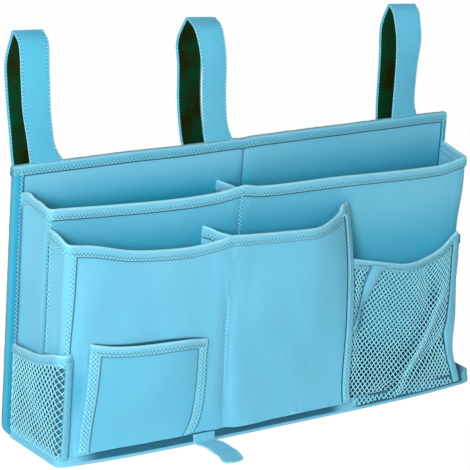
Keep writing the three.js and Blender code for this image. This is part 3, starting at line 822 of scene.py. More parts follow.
def binding_profile(height, thickness):
    """Rows of a distance down from the edge, a distance out of the cloth, a crease share of painted shade and
    a rim share of painted highlight and wear.
    """
    dip = height - stitch_inset
    # Lip rows in painted shade, painted shade in the stitch dip, painted highlight and wear on the rolled
    # top.
    outside = [
        (height + lip, 0.00006, lip_shade, 0),
        (height + lip, 0.00024, lip_shade, 0),
        (height, 0.00034, lip_shade, 0),
        (height - 0.0001, 0.00085, 0.25, 0),
        (height - 0.0006, 0.00115, 0, 0.30),
        (dip + 0.0010, 0.00110, 0.05, 0),
        (dip, 0.00070, 0.40, 0),
        (dip - 0.0010, 0.00110, 0.05, 0),
        (height * 0.4, 0.00135, 0, 0),
        (0.0012, binding_proud, 0, 0.10),
        (-0.0002, 0.00085, 0, 0.65),
    ]
    back = [(down, -thickness - out, crease, rim) for down, out, crease, rim in reversed(outside)]
    top = [(-0.0009, 0.0003, 0, 0.8), (-0.0011, -thickness / 2, 0, 0.8)]
    top += [(-0.0009, -thickness - 0.0003, 0, 0.8)]
    under = [(0.0001, -thickness - 0.00005, 0, 0), (-0.0001, -thickness / 2, 0, 0), (0.0001, 0.00005, 0, 0)]
    return outside + top + back + under


def swing(i, half=zigzag_half):
    return half if i % 2 else -half


def zigzag_down(surface, height, middle, first, last, lift, half=zigzag_half, step=zigzag_step):
    """A zigzag seam that runs down a cloth. Its middle is a distance along the cloth for each drop."""
    drops = enumerate(even(first, last, step))
    return [lay_on(surface, height, middle(drop) + swing(i, half), drop, lift) for i, drop in drops]


def bind_edge(name, surface, start, end, height, nodes, seed, band=binding_height, thickness=cloth, depth=0.0,
              line=lambda along: 1.0):
    """A binding over a cloth's top edge. Line gives how dark the painted shade of its lip is at each place
    along the edge, and depth an even painted shade over the tape.
    """
    section = binding_profile(band, thickness)
    rings = []
    places = even(start, end, binding_step)
    for along in places:
        puff = 1 + crumple((along, seed, 0), pucker_size, puff_share, seed)
        rings.append([lay_on(surface, height, along, row[0], row[1] * puff) for row in section])
    binding = skin(name, rings, section, edging_cloth, lambda i: line(places[i]), depth)
    finish_piece(binding, "caddy", nodes)
    dip = band - stitch_inset
    turns = enumerate(even(start, end, zigzag_step))
    zigzag = [lay_on(surface, height, along, dip + swing(i), binding_proud) for i, along in turns]
    behind = [lay_on(surface, height, along, dip, -thickness - back_stitch_out) for along in places]
    return [binding, *sew(f"{name}_zigzag", [zigzag]), stitch(f"{name}_back_stitches", [behind])]


# %% [markdown]
# A strip is a folded tape laid on a wall and sewn down with a zigzag. It is laid on the wall ring by ring
# as well, so it can run round a corner. Where its edge stands clear of the wall it has the same thin lip,
# painted in deep shade for the shadow line under the edge.

# %% Strips
strip_width = 0.0105
strip_step = 0.004
seam_gap = 0.0001


def strip_profile(left_lip, right_lip, proud):
    """Rows of a distance across the strip, a distance out, a crease share of painted shade and a rim share of
    painted highlight and wear.
    """
    half = strip_width / 2
    rows = []
    for side, shown in ((1, right_lip), (-1, left_lip)):
        edge = [(side * half, 0.00010, 0.3, 0), (side * (half - 0.0004), proud * 0.6, 0.15, 0)]
        if shown:
            reach = half + lip
            edge = [
                (side * reach, 0.00006, lip_shade, 0),
                (side * reach, 0.00026, lip_shade, 0),
                (side * half, 0.00036, lip_shade, 0),
                (side * (half - 0.0001), proud * 0.65, 0.25, 0),
            ]
        edge += [(side * (half - 0.0008), proud * 0.9, 0, 0.30), (side * half * 0.5, proud, 0, 0)]
        rows += edge if side > 0 else edge[::-1]
    return rows


def lay_strip(name, surface, height, middle, first, last, nodes=(), lips=(False, True), seams=(), wide=None,
              lift=0.0002, proud=0.0012, depth=0.0, shade=0.0, line=1.0):
    """A strip down a cloth. A seam is an offset across it and the drops where its zigzag starts and ends."""
    section = strip_profile(*lips, proud)
    rings = []
    for drop in even(first, last, strip_step):
        scale = wide(drop) / strip_width if wide else 1.0
        place = middle(drop)
        rings.append([lay_on(surface, height, place + a * scale, drop, b + lift) for a, b, *_ in section])
    # Depth, shade and line set how much painted shade the tape and its lip get.
    tape = skin(name, rings, section, edging_cloth, lambda i: line, depth, shade)
    pieces = [finish_piece(tape, "caddy", nodes)]
    over = lift + proud + seam_gap
    lines = [
        zigzag_down(surface, height, lambda drop, offset=offset: middle(drop) + offset, top, foot, over)
        for offset, top, foot in seams
    ]
    if lines:
        pieces += sew(f"{name}_zigzag", lines)
    return pieces


print("binding", binding_height, "m high,", stitch_pitch, "m between stitches")

# %% [markdown]
# The back panel is two cloths with stiff boards between them. The lining faces the pockets. It is drawn in
# along the fold at the middle, where the panel folds in half, and swells a little between its sewn edges,
# because the cloth is cut slightly loose. The cover behind lies flat where the loop patches are sewn on.
# The panel's two boards are cards with rounded lower corners, and the base board keeps its shape from the
# model and only gets a finish.

# %% Back panel
panel_low, panel_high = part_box("back_lining")
cover_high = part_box("back_cover")[1]
hem_low, hem_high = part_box("back_hem")
panel_left = panel_low.x + 0.0036
panel_width = panel_high.x - panel_left
panel_tall = panel_high.z - panel_low.z
fold_x = 0.0015
fold_half = 0.0016
edging_band = 0.0090
edging_corner = 0.016
hem_band = hem_high.z - hem_low.z - 0.0028
hem_share = hem_band / panel_tall
panel_fold_at = fold_x - panel_left
lining_shade_from = 0.010
lining_shade_to = 0.052
board_inset = 0.0011
board_step = 0.006


def panel_foot(x, inset=0.0):
    """The height of the panel's foot, which is rounded at its two corners."""
    side = min(x - panel_left, panel_high.x - x) - inset
    turn = 1 - limited(side / edging_corner)
    return panel_low.z + inset + edging_corner * (1 - math.sqrt(1 - turn * turn))


def slack(along, up):
    """How free the panel's cloths are: held flat under the hem and the side tapes, loose between them."""
    sides = eased((along - edging_band) / 0.03) * eased((panel_width - edging_band - along) / 0.03)
    foot = eased((up * panel_tall - edging_band) / 0.03)
    return sides * foot * eased((1 - up - hem_share - 0.010) / 0.10)


patch_boxes = [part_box(f"loop_patch_{side}") for side in ("left", "center", "right")]
pressed_reach = 0.025


def pressed(x, z):
    """How flat the cover lies, where the loop patches are sewn on and the straps press against it."""
    gaps = [math.hypot(max(a.x - x, x - b.x, 0), max(a.z - z, z - b.z, 0)) for a, b in patch_boxes]
    return 1 - eased(min(gaps) / pressed_reach)


def lining_face(along, up):
    x = panel_left + along
    z = mix(panel_foot(x), panel_high.z, up)
    edge = slack(along, up)
    tuck = groove(x - fold_x, 0.012) ** 2
    swell = 0.0016 * edge * (1 - tuck) + crumple((x, 0, z), 0.09, 0.0011, 1) * edge
    small = crumple((x, 0.2, z), 0.034, 0.0004, 2) * edge
    return Vector((x, panel_low.y - swell - small + 0.0004 * groove(x - fold_x, fold_half * 2), z))


def cover_face(along, up):
    x = panel_high.x - along
    z = mix(panel_foot(x), cover_high.z, up)
    edge = slack(along, up) * (1 - pressed(x, z))
    tuck = groove(x - fold_x, 0.012) ** 2
    swell = 0.0012 * edge * (1 - tuck) + crumple((x, 0.5, z), 0.1, 0.0009, 3) * edge
    return Vector((x, cover_high.y + swell, z))


# Painted shade along the panel's fold, on the lining.
def fold_shade(along, drop):
    return 0.75 * groove(along - panel_fold_at, fold_half)


def lining_depth(along, drop):
    """Painted shade: the lining darkens inside the rear pockets, more so at the right, away from the lamp."""
    right = eased((along - panel_fold_at) / 0.03)
    inside = eased((drop - lining_shade_from) / (lining_shade_to - lining_shade_from))
    return mix(0.14 * right, mix(0.96, 0.80, right), inside)


# Painted shade along the panel's fold, on the cover.
def cover_shade(along, drop):
    return 0.6 * groove(panel_width - along - panel_fold_at, fold_half)


lining = lay_cloth("back_lining_cloth", lining_face, panel_width, panel_tall, ["back_lining"],
                   marks=[(panel_fold_at, fold_half)], shade=fold_shade, depth=lining_depth)
cover = lay_cloth("back_cover_cloth", cover_face, panel_width, panel_tall, ["back_cover"],
                  marks=[(panel_width - panel_fold_at, fold_half)], shade=cover_shade)
for node in ("back_board_left", "back_board_right"):
    board_low, board_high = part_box(node)
    start_x = max(board_low.x, panel_left + board_inset)

    def board_face(along, up):
        x = start_x + along
        return Vector((x, board_low.y, mix(panel_foot(x, board_inset), board_high.z, up)))

    lay_cloth(f"{node}_card", board_face, board_high.x - start_x, board_high.z - board_low.z, [node],
              grey_board, thickness=board_high.y - board_low.y, step=board_step)
base_board = frame["nodes"]["base_board"]
base_board.data.materials.clear()
base_board.data.materials.append(grey_board)
print("panel", round(panel_width, 4), "by", round(panel_tall, 4))

# %% [markdown]
# One tape binds the panel's sides and foot, round the two lower corners. It is swept along a U. Across the
# top the cloth is turned over into a hem, a little wider than the panel, whose ends stick out past the side
# tape.

# %% Panel edging and hem
right_edging_share = 0.65
edging_out = 0.0002
edging_below_hem = 0.0035
# Even painted shade over the panel edging tape.
edging_shade = 0.85
hem_notch = 0.0011
hem_sag = 0.0010
hem_left = panel_left - 0.0021
hem_length = hem_high.x - 0.0015 - hem_left
panel_thickness = cover_high.y - panel_low.y


def station_row(stations, first, second, half=0.0):
    """A line of points at one place of the section, turning from side to side by half a zigzag's width."""
    return [origin + a * (first + swing(i, half)) + b * second for i, (origin, a, b) in enumerate(stations)]


def panel_edging_stations(spacing):
    left, right = panel_left - edging_out, panel_high.x + edging_out
    foot = panel_low.z - edging_out
    top = hem_high.z - edging_below_hem
    path, length = corner_path([(left, top), (left, foot), (right, foot), (right, top)], edging_corner)
    stations = []
    for distance in even(0.0, length, spacing):
        here = path(distance)
        ahead = path(min(distance + 0.001, length)) - path(max(distance - 0.001, 0))
        inward = Vector((-ahead.y, 0, ahead.x)).normalized()
        puff = 1 + crumple((here.x, 0, here.y), pucker_size, 0.12, 4)
        puff *= mix(1, 0.5, eased((here.y - hem_high.z + hem_band) / 0.003))
        inward *= mix(1, right_edging_share, eased(here.x / panel_high.x))
        stations.append((Vector((here.x, panel_low.y, here.y)), inward, Vector((0, -puff, 0))))
    return stations


edging_stations = panel_edging_stations(binding_step)
edging_profile = binding_profile(edging_band, panel_thickness)
panel_edging = carry("panel_edging_tape", edging_stations, edging_profile, edging_cloth, depth=edging_shade)
finish_piece(panel_edging, "caddy", ["back_edging"])
edging_dip = edging_band - stitch_inset
edging_turns = station_row(panel_edging_stations(zigzag_step), edging_dip, binding_proud, zigzag_half)
panel_zigzag = sew("panel_edging_zigzag", [edging_turns])
edging_back = station_row(edging_stations, edging_dip, -panel_thickness - back_stitch_out)
panel_stitches = stitch("panel_edging_stitches", [edging_back])


def hem_face(along, up):
    x = hem_left + along
    sag = hem_sag * bell(x + 0.050, 0.070)
    z = hem_high.z - 0.0009 - hem_notch * groove(x - fold_x, 0.007) - sag - (1 - up) * hem_band
    y = panel_low.y + 0.0002 * groove(x - fold_x, 0.01)
    return Vector((x, y, z + crumple((x, 0, 0), 0.05, 0.0005, 5)))


# The hem gets an even painted shade through depth.
hem = bind_edge("back_hem_binding", hem_face, 0.0, hem_length, hem_band, nodes=["back_hem"], band=hem_band,
                thickness=panel_thickness, seed=6.0, depth=0.30)
print("hem", round(hem_length, 4), "long,", len(edging_stations), "stations round the edging")

# %% [markdown]
# The rear pockets are one long strip of cloth: a gusset at the left, the wall across the front, and a
# gusset at the right, with a rounded turn at each corner. One path in plan view carries all three, so their
# edges meet exactly. Their top line dips between its supports, as the photographed edge does. The right end
# is drawn in at half height, because the full net pulls on it.

# %% Rear pocket surface
body_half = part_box("rear_gusset_right")[1].x
rear_start_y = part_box("rear_gusset_left")[1].y
rear_face_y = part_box("rear_wall")[0].y
front_face_y = -panel_low.y
wall_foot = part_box("rear_wall")[0].z
corner_radius = 0.005
rear_depth = rear_start_y - rear_face_y
rear_divider_x = -0.035
rear_tall = 0.2265

rear_left_tops = [(0.0, 0.2400), (0.007, 0.2422), (0.013, 0.2430), (0.0215, 0.2406), (0.034, 0.2396),
                  (0.042, 0.2378)]
rear_wall_tops = [(-0.236, 0.2371), (-0.1865, 0.2340), (-0.1185, 0.2310), (-0.0644, 0.2312),
                  (-0.0368, 0.2345), (-0.0305, 0.2350), (-0.015, 0.2322), (0.015, 0.2308), (0.080, 0.2302),
                  (0.148, 0.2277), (0.212, 0.2267), (0.2256, 0.2287), (0.2400, 0.2314)]
rear_right_tops = [(0.006, 0.2322), (0.020, 0.2330), (0.034, 0.2342), (0.0486, 0.2350)]
right_gusset_spread = 0.009
waist_depth = 0.0065

rear_path, rear_length = corner_path(
    [
        (-body_half, rear_start_y),
        (-body_half, rear_face_y),
        (body_half, rear_face_y),
        (body_half + right_gusset_spread, rear_start_y),
    ],
    corner_radius,
)
corner_saving = 2 * corner_radius - (rear_depth * 2 + body_half * 2 - rear_length) / 2
rear_left_end = rear_depth - corner_radius + corner_saving / 2
rear_right_start = rear_length - rear_left_end


def along_rear_wall(x):
    """The distance along the rear path at a place across the wall."""
    return rear_length / 2 + x


rear_top = line_through(
    rear_left_tops
    + [(along_rear_wall(x), z) for x, z in rear_wall_tops]
    + [(rear_length - rear_depth + y, z) for y, z in rear_right_tops]
)


def path_frame(path, length, along):
    """A path's place and outward direction in plan view."""
    ahead = path(min(along + 0.0005, length)) - path(max(along - 0.0005, 0))
    here = path(along)
    return here, Vector((ahead.y, -ahead.x)).normalized()


def waist_at(x, z):
    """How far the right end of the row is drawn in, where the full net pulls on it."""
    middle = 0.45 + 0.55 * bell(z - 0.060, 0.035)
    return waist_depth * middle * eased((x - 0.12) / 0.13) * eased((0.21 - z) / 0.05)


def rear_face(along, up):
    here, out = path_frame(rear_path, rear_length, along)
    z = mix(wall_foot, rear_top(along), up)
    on_wall = eased((along - rear_left_end) / 0.03) * eased((rear_right_start - along) / 0.03)
    seam = groove(here.x - rear_divider_x, 0.010) ** 2 * on_wall
    place = (here.x, here.y, z)
    loose = crumple(place, 0.10, 0.0022, 11) * on_wall + crumple(place, 0.04, 0.0006, 12)
    side = (1 - on_wall) * crumple((here.x, here.y * 1.4, z * 0.6), 0.030, 0.0009, 13)
    swell = 0.0020 * on_wall * (1 - seam) * arch(up)
    puff = swell + loose * (1 - seam) + side - 0.0008 * seam
    gentle = eased((1.02 - up) / 0.10)
    return Vector((here.x + out.x * puff * gentle - waist_at(here.x, z), here.y + out.y * puff * gentle, z))


print("rear path", round(rear_length, 4))

# %% [markdown]
# The wall and the two gussets are cut from that surface. A zigzag runs down the wall where the divider is
# sewn behind it and draws the cloth into short puckers. The wall has painted shade near its foot, deep
# inside the row of pockets.

# %% Rear pockets
rear_seam_at = along_rear_wall(rear_divider_x)
on_cloth = thread_radius * 0.7
over_binding = 0.0016
foot_shade_from = 0.085
front_tip_x = 0.083
front_tip_drop = 0.026


def rear_shade(along, drop):
    """Painted shade: a line along the divider's seam, a line beside the panel's edge, and deep shade behind
    the nets, which makes their holes dark.
    """
    seam = 0.30 * groove(along - rear_seam_at, 0.0016) * limited((0.055 - drop) / 0.03)
    x = along - along_rear_wall(0)
    low = max(eased((drop - 0.165) / 0.03), eased((x - 0.185) / 0.03) * eased((drop - 0.120) / 0.04))
    past_wall = eased((x - 0.085) / 0.01)
    behind_front_net = mix(0.25, 0.92, low) * eased((drop - foot_shade_from) / 0.05) * past_wall
    behind_left_net = 0.85 * eased((drop - 0.136) / 0.01) * eased((rear_left_end - along) / 0.004)
    panel_side = 0.95 * groove(along, 0.0026) * eased((drop - 0.010) / 0.004)
    return max(seam, behind_front_net, behind_left_net, panel_side)


def rear_depth_shade(along, drop):
    """Painted shade: the rear wall darkens into the front pockets, and beside the tip where the front wall is
    tacked.
    """
    if along < rear_left_end or along > rear_right_start:
        return 0.0
    x = along - along_rear_wall(0)
    in_pocket = mix(0.38, 0.82, eased((drop - 0.012) / 0.035))
    over_net = mix(0.10, 0.72, eased((drop - 0.020) / 0.070))
    tip = 0.55 * bell(x - front_tip_x, 0.020) * bell(drop - front_tip_drop, 0.010)
    return max(mix(in_pocket, over_net, eased((x - front_tip_x + 0.002) / 0.012)), tip)


def rear_pucker(along, drop):
    corners = max(groove(along - rear_left_end, 0.035), groove(along - rear_right_start, 0.03))
    return max(0.9 * groove(along - rear_seam_at, 0.025), 0.6 * corners)


rear_parts = {
    "rear_wall": (rear_left_end, rear_right_start),
    "rear_gusset_left": (0.0, rear_left_end),
    "rear_gusset_right": (rear_right_start, rear_length),
}
for node, (start, end) in rear_parts.items():
    marks = [(rear_seam_at - start, 0.0016)] if node == "rear_wall" else []
    piece = lay_cloth(f"{node}_cloth", rear_face, end - start, rear_tall, [node], start=start, marks=marks,
                      shade=rear_shade, depth=rear_depth_shade, pucker=rear_pucker)


def rear_line(along):
    """The painted shade line below the rear binding is plain on the wall and faint on the gussets."""
    return mix(0.35, 0.95, eased((along - rear_left_end) / 0.004) * eased((rear_right_start - along) / 0.004))


rear_binding = bind_edge(
    "rear_binding", rear_face, 0.0005, rear_length - 0.0005, rear_tall, seed=14.0, line=rear_line,
    nodes=["rear_edging_front", "rear_edging_left", "rear_edging_right"],
)
rear_seam_zigzag = sew(
    "rear_divider_seam",
    [
        zigzag_down(rear_face, rear_tall, lambda drop: rear_seam_at, 0.001, 0.011, over_binding),
        zigzag_down(rear_face, rear_tall, lambda drop: rear_seam_at, 0.012, rear_tall - 0.012, on_cloth),
        zigzag_down(rear_face, rear_tall, lambda drop: rear_left_end, 0.012, 0.060, on_cloth),
    ],
)

# %% [markdown]
# A divider stands across each row. It is a plain cloth, bound along its top, that runs from the panel or
# the rear wall to the wall in front of it. It is curved a little in plan, because nothing holds its middle.

# %% Rear divider
def divider_surface(back, front, foot, tops, bend, seed):
    """A divider's left face. Back and front are places in X and Y, and tops its heights along its length."""
    top = line_through(tops)
    length = (Vector(front) - Vector(back)).length

    def face(along, up):
        share = along / length
        here = Vector(back).lerp(Vector(front), share)
        z = mix(foot, top(share), up)
        sway = bend * arch(share) + crumple((share * 0.05, 0, z), 0.05, 0.0010, seed)
        return Vector((here.x + sway, here.y, z))

    return face, length


def make_divider(name, surface, length, height, nodes, seed):
    piece = lay_cloth(f"{name}_cloth", surface, length, height, nodes[:1])
    binding = bind_edge(f"{name}_binding", surface, 0.0006, length - 0.0006, height, nodes=nodes[1:],
                        seed=seed)


rear_divider_face, rear_divider_length = divider_surface(
    (-0.029, rear_start_y), (rear_divider_x, rear_face_y + 0.0026), wall_foot,
    [(0, 0.2268), (0.25, 0.2268), (0.57, 0.2280), (0.8, 0.2292), (1, 0.2305)], 0.0030, 15,
)
make_divider("rear_divider", rear_divider_face, rear_divider_length, 0.2215,
             ["rear_divider", "rear_divider_edging"], 16.0)
print("rear divider", round(rear_divider_length, 4), "deep")

# %% [markdown]
# The front row is built the same way, from the rear wall round the front left corner to the right end of
# the front wall. The wall bows out at its foot, and over its last third its top leans back to the rear
# wall, where it is tacked. Near the floor the cloth flares out over the base band, which leaves a slot
# under it; the slot is darkened with painted shade on the band. It flares less over the bottom strap, so
# the strap can be turned up against it.

# %% Front pocket surface
front_start_y = rear_face_y - 0.0003
front_end_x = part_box("front_wall")[1].x
front_bow = 0.010
front_pull = 0.0296
front_pull_start = 0.030
front_top_end = 0.202
front_flare = 0.0052
flare_height = 0.012
flap_low, flap_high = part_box("bottom_strap_flap")
flap_x = (flap_low.x + flap_high.x) / 2
flap_room = 0.80
flap_room_reach = 0.028
front_tall = 0.190
front_gusset_depth = front_start_y - front_face_y

front_gusset_tops = [(0.0, 0.2200), (0.010, 0.2192), (0.020, 0.2168), (0.027, 0.2142)]
front_wall_tops = [(-0.240, 0.2122), (-0.219, 0.2090), (-0.178, 0.1992), (-0.130, 0.1944), (-0.103, 0.1940),
                   (-0.080, 0.1962), (-0.066, 0.1985), (-0.050, 0.1975), (-0.010, 0.1950), (0.038, 0.1930),
                   (0.056, 0.1948), (0.079, 0.1994), (0.0800, 0.2030), (0.0825, 0.2042), (0.093, 0.2038)]
front_path, front_length = corner_path(
    [(-body_half, front_start_y), (-body_half, front_face_y), (front_end_x, front_face_y)], corner_radius
)
front_turn = front_length - (front_end_x + body_half)


def along_front_wall(x):
    return front_length - (front_end_x - x)


front_top = line_through(front_gusset_tops + [(along_front_wall(x), z) for x, z in front_wall_tops])
front_corner_saving = front_turn - front_gusset_depth + 2 * corner_radius
front_gusset_end = front_gusset_depth - corner_radius + front_corner_saving / 2


def bow_at(x):
    return front_bow * (1 - min(abs(x) / body_half, 1) ** 4)


def front_offset(x, share):
    """How far the front wall stands out: its bow at the foot less its lean at the right end."""
    reach = max((x - front_pull_start) / (front_end_x - front_pull_start), 0)
    return bow_at(x) * max(1 - share, 0) ** 1.5 - front_pull * reach**1.5 * max(share, 0) ** 3


front_seam_top_x = -0.0645
front_seam_foot_x = -0.070
front_slant = 0.0117
front_slant_from = 0.010
front_foot = line_through([(0.0, 0.0095), (0.040, 0.0105), (0.080, 0.0128), (0.160, 0.0124), (0.250, 0.0118),
                           (0.42, 0.0108)])


def slant_at(x, share):
    """How far the wall's right end is drawn in towards its foot."""
    reach = max((x - front_slant_from) / (front_end_x - front_slant_from), 0)
    return front_slant * reach * max(1 - share, 0) ** 1.3


def front_face(along, up):
    here, out = path_frame(front_path, front_length, along)
    z = mix(front_foot(along), front_top(along), up)
    share = (z - wall_foot) / (front_top(along) - wall_foot)
    on_wall = eased((along - front_gusset_end) / 0.022)
    near_end = eased((front_length - along) / 0.025)
    seam_x = mix(front_seam_foot_x, front_seam_top_x, share)
    seam = groove(here.x - seam_x, 0.013) ** 2 * on_wall
    free = on_wall * near_end * (1 - seam)
    bulge = 0.0030 * arch(share) ** 0.7
    folds = crumple((here.x, 0, z), 0.11, 0.0042, 21) + crumple((here.x * 1.2, 0, z), 0.045, 0.0013, 22)
    side = (1 - on_wall) * crumple((0, here.y * 1.5, z * 0.6), 0.030, 0.0008, 23)
    edge = eased((1.02 - up) / 0.12)
    flare = front_flare * math.exp(-(z - front_foot(along)) / flare_height) * on_wall
    flare *= 1 - flap_room * bell(here.x - flap_x, flap_room_reach)
    puff = (bulge * free + folds * free) * edge + side + flare - 0.0010 * seam
    wall_offset = front_offset(here.x, share) if on_wall > 0 else 0.0
    return Vector((here.x + out.x * puff - slant_at(here.x, share), here.y + out.y * puff - wall_offset, z))


print("front path", round(front_length, 4))

# %% [markdown]
# The cloths, the binding round their top, the stitched seam of the divider, and the two upright strips: one
# covers the seam at the left corner, the other binds the right end where the net begins. The wall also
# carries the painted shade inside the patch pocket's mouth.

# %% Front pockets
corner_strip_top = front_gusset_end + 0.0028
corner_strip_foot = front_gusset_end - 0.0026
corner_strip_cut = 0.106
tack_top = 0.0005
tack_foot = 0.0100
tack_half = 0.0022
tack_step = 0.0009
end_strip_middle = front_length - strip_width / 2
front_wall_long = front_length - front_gusset_end
gusset_seam = 0.0034


def front_seam_along(drop):
    share = 1 - drop / front_tall
    return along_front_wall(mix(front_seam_foot_x, front_seam_top_x, share))


def front_pucker(along, drop):
    """Short wrinkles beside the corner strip, beside the divider's seam and near the foot."""
    corner = groove(along - front_gusset_end - 0.014, 0.022) * eased((drop - 0.06) / 0.05)
    seam = groove(along - front_seam_along(drop), 0.030)
    foot = 0.6 * groove(front_tall - drop, 0.02)
    return max(0.9 * corner, 0.8 * seam, foot, 0.12)


patch_left = line_through([(0.0128, -0.2318), (0.024, -0.2300), (0.070, -0.2245), (0.114, -0.2222)])
patch_right = line_through([(0.0128, -0.1090), (0.020, -0.1030), (0.031, -0.0985), (0.060, -0.0955),
                            (0.101, -0.0925)])
patch_top = line_through([(0, 0.1170), (0.18, 0.1122), (0.45, 0.1090), (0.8, 0.1070), (1, 0.1030)])
mouth_depth = 0.020
mouth_rows = [(0.077 + 0.0030 * i, 0.0006) for i in range(7)]


def front_wall_shade(along, drop):
    """Painted shade on the wall behind the left net, which reaches round the corner, and inside the patch
    pocket's mouth.
    """
    behind_net = 0.85 * eased((drop - 0.103) / 0.01) * eased((front_gusset_end + 0.010 - along) / 0.003)
    z = mix(front_foot(along), front_top(along), 1 - drop / front_tall)
    share = (along - along_front_wall(patch_left(z))) / (patch_right(z) - patch_left(z))
    inside = patch_top(limited(share)) - z
    mouth = eased((inside + 0.0024) / 0.0014) * eased((mouth_depth - inside) / 0.006)
    return max(behind_net, 0.96 * mouth * eased(share / 0.05) * eased((1 - share) / 0.03))


def front_wall_depth_shade(along, drop):
    """Painted shade: a soft hollow beside the net's rolled edge, over an even painted shade."""
    hollow = bell(along - front_gusset_end - 0.014, 0.007) * bell(drop - 0.130, 0.022)
    return 0.10 + 0.45 * hollow


# Painted shade: a line at the gusset's back edge, and the shade behind the left net.
def gusset_shade(along, drop):
    return max(0.9 * groove(along - 0.0006, 0.0012), 0.85 * eased((drop - 0.103) / 0.01))


front_wall_piece = lay_cloth(
    "front_wall_cloth", front_face, front_wall_long, front_tall, ["front_wall"], start=front_gusset_end,
    step=0.0045, seams=mouth_rows, shade=front_wall_shade, depth=front_wall_depth_shade, pucker=front_pucker,
)
front_gusset_piece = lay_cloth(
    "front_gusset_left_cloth", front_face, front_gusset_end, front_tall, ["front_gusset_left"],
    marks=[(0.0006, 0.0006)], step=0.004, shade=gusset_shade, pucker=lambda along, drop: 0.5,
)


def front_line(along):
    """The painted shade line below the front binding fades towards the right."""
    past_corner = eased(along / 0.002 - front_gusset_end / 0.002 + 1)
    return mix(0.75, 0.40, eased((along - along_front_wall(-0.20)) / 0.20)) * past_corner


def corner_strip_middle(drop):
    return mix(corner_strip_top, corner_strip_foot, drop / front_tall)


def corner_strip_wide(drop):
    return mix(0.0125, 0.0095, drop / front_tall)


front_binding = bind_edge("front_binding", front_face, 0.0005, front_length, front_tall, seed=24.0,
                          line=front_line, nodes=["front_edging", "front_gusset_edging"])
strip_top = binding_height - 0.0005
strip_foot = front_tall - 0.001
corner_strip_seam = [(0.0026, strip_top, 0.105)]
# The lower length, behind the net, gets painted shade; both get a faint painted shade and a painted lip line.
corner_strip_parts = {
    "front_corner_strip_tape": (strip_top, corner_strip_cut, ["front_corner_strip"], corner_strip_seam, 0.0),
    "front_corner_strip_low": (corner_strip_cut, strip_foot, [], [], 0.8),
}
corner_strip = []
for name, (first, last, nodes, seams, shade) in corner_strip_parts.items():
    corner_strip += lay_strip(name, front_face, front_tall, corner_strip_middle, first, last, nodes,
                              seams=seams, wide=corner_strip_wide, depth=0.05, shade=shade, line=0.75)
end_strip = lay_strip(
    "front_end_strip_tape", front_face, front_tall, lambda drop: end_strip_middle, strip_top, strip_foot,
    ["front_end_strip"], lips=(True, False), seams=[(-0.0026, strip_top, front_tall - 0.004)],
)
front_seams = [
    zigzag_down(front_face, front_tall, front_seam_along, 0.060, front_tall - 0.006, on_cloth, 0.0007),
    zigzag_down(front_face, front_tall, lambda drop: gusset_seam, 0.012, 0.105, on_cloth),
]
for tack in (0.0035, front_length - 0.002):
    front_seams.append(zigzag_down(front_face, front_tall, lambda drop: tack, tack_top, tack_foot,
                                   over_binding, tack_half, tack_step))
front_seam_stitches = sew("front_divider_seam", front_seams)

front_divider_face, front_divider_length = divider_surface(
    (-0.079, rear_face_y - 0.0006), (-0.066, front_face_y - 0.001 + 0.0026), wall_foot + 0.002,
    [(0, 0.2008), (0.2, 0.2003), (0.5, 0.1978), (1, 0.1985)], 0.0025, 25,
)
make_divider("front_divider", front_divider_face, front_divider_length, 0.189,
             ["front_divider", "front_divider_edging"], 26.0)
print("front pocket pieces ready")

# %% [markdown]
# The right end of the front row is closed by a small gusset between the leaning wall and the rear wall.

# %% Front right gusset
gusset_low, gusset_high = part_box("front_gusset_right")
right_gusset_depth = 0.030
right_gusset_tall = gusset_high.z - gusset_low.z


def front_right_face(along, up):
    z = mix(gusset_low.z, gusset_high.z, up)
    share = (z - wall_foot) / (front_top_end - wall_foot)
    start = front_face_y - front_offset(front_end_x, share) + 0.0018
    share_back = along / right_gusset_depth
    fold = 0.0015 * arch(share_back)
    drawn_in = slant_at(front_end_x, share) * (1 - limited(share_back))
    return Vector((front_end_x + fold - drawn_in, mix(start, gusset_high.y, share_back), z))


right_gusset = lay_cloth("front_gusset_right_cloth", front_right_face, right_gusset_depth, right_gusset_tall,
                         ["front_gusset_right"])
print("right gusset", round(right_gusset_tall, 4), "high")

# %% [markdown]
# The base is a board between a cover and a lining, with a soft band rolled round its front and sides. The
# band could be a plain tube, but its raw edge shows under the walls, so it is one more profile on a path.
# The band's top goes up behind the wall's flared foot, so the slot between them is closed, and painted
# shade darkens it.

# %% Base
base_low, base_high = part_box("base_cover")
base_lining_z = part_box("base_lining")[1].z
base_length = base_high.x - base_low.x
base_depth = base_high.y - base_low.y
base_step = 0.008


def base_front(x):
    return front_face_y - bow_at(x)


def base_cover_face(along, up):
    x = base_low.x + along
    edge = 0.0006 * (1 - groove(up - 0.5, 0.5))
    return Vector((x, mix(base_high.y, base_front(x), up), base_low.z + edge * eased(abs(x) / body_half)))


def base_lining_face(along, up):
    x = base_low.x + along
    y = mix(base_front(x), base_high.y, up)
    return Vector((x, y, base_lining_z + crumple((x, y, 0), 0.06, 0.0004, 31)))


base_cover = lay_cloth("base_cover_cloth", base_cover_face, base_length, base_depth, ["base_cover"],
                       step=base_step)
# The base lining is darkened all over with painted shade.
base_lining = lay_cloth("base_lining_cloth", base_lining_face, base_length, base_depth, ["base_lining"],
                        step=base_step, shade=lambda along, drop: 0.8)

band_radius = 0.0045
band_step = 0.0035
slot_shade = 0.92
slot_start_x = -0.235
slot_end_x = 0.078
net_shade_start_x = 0.090
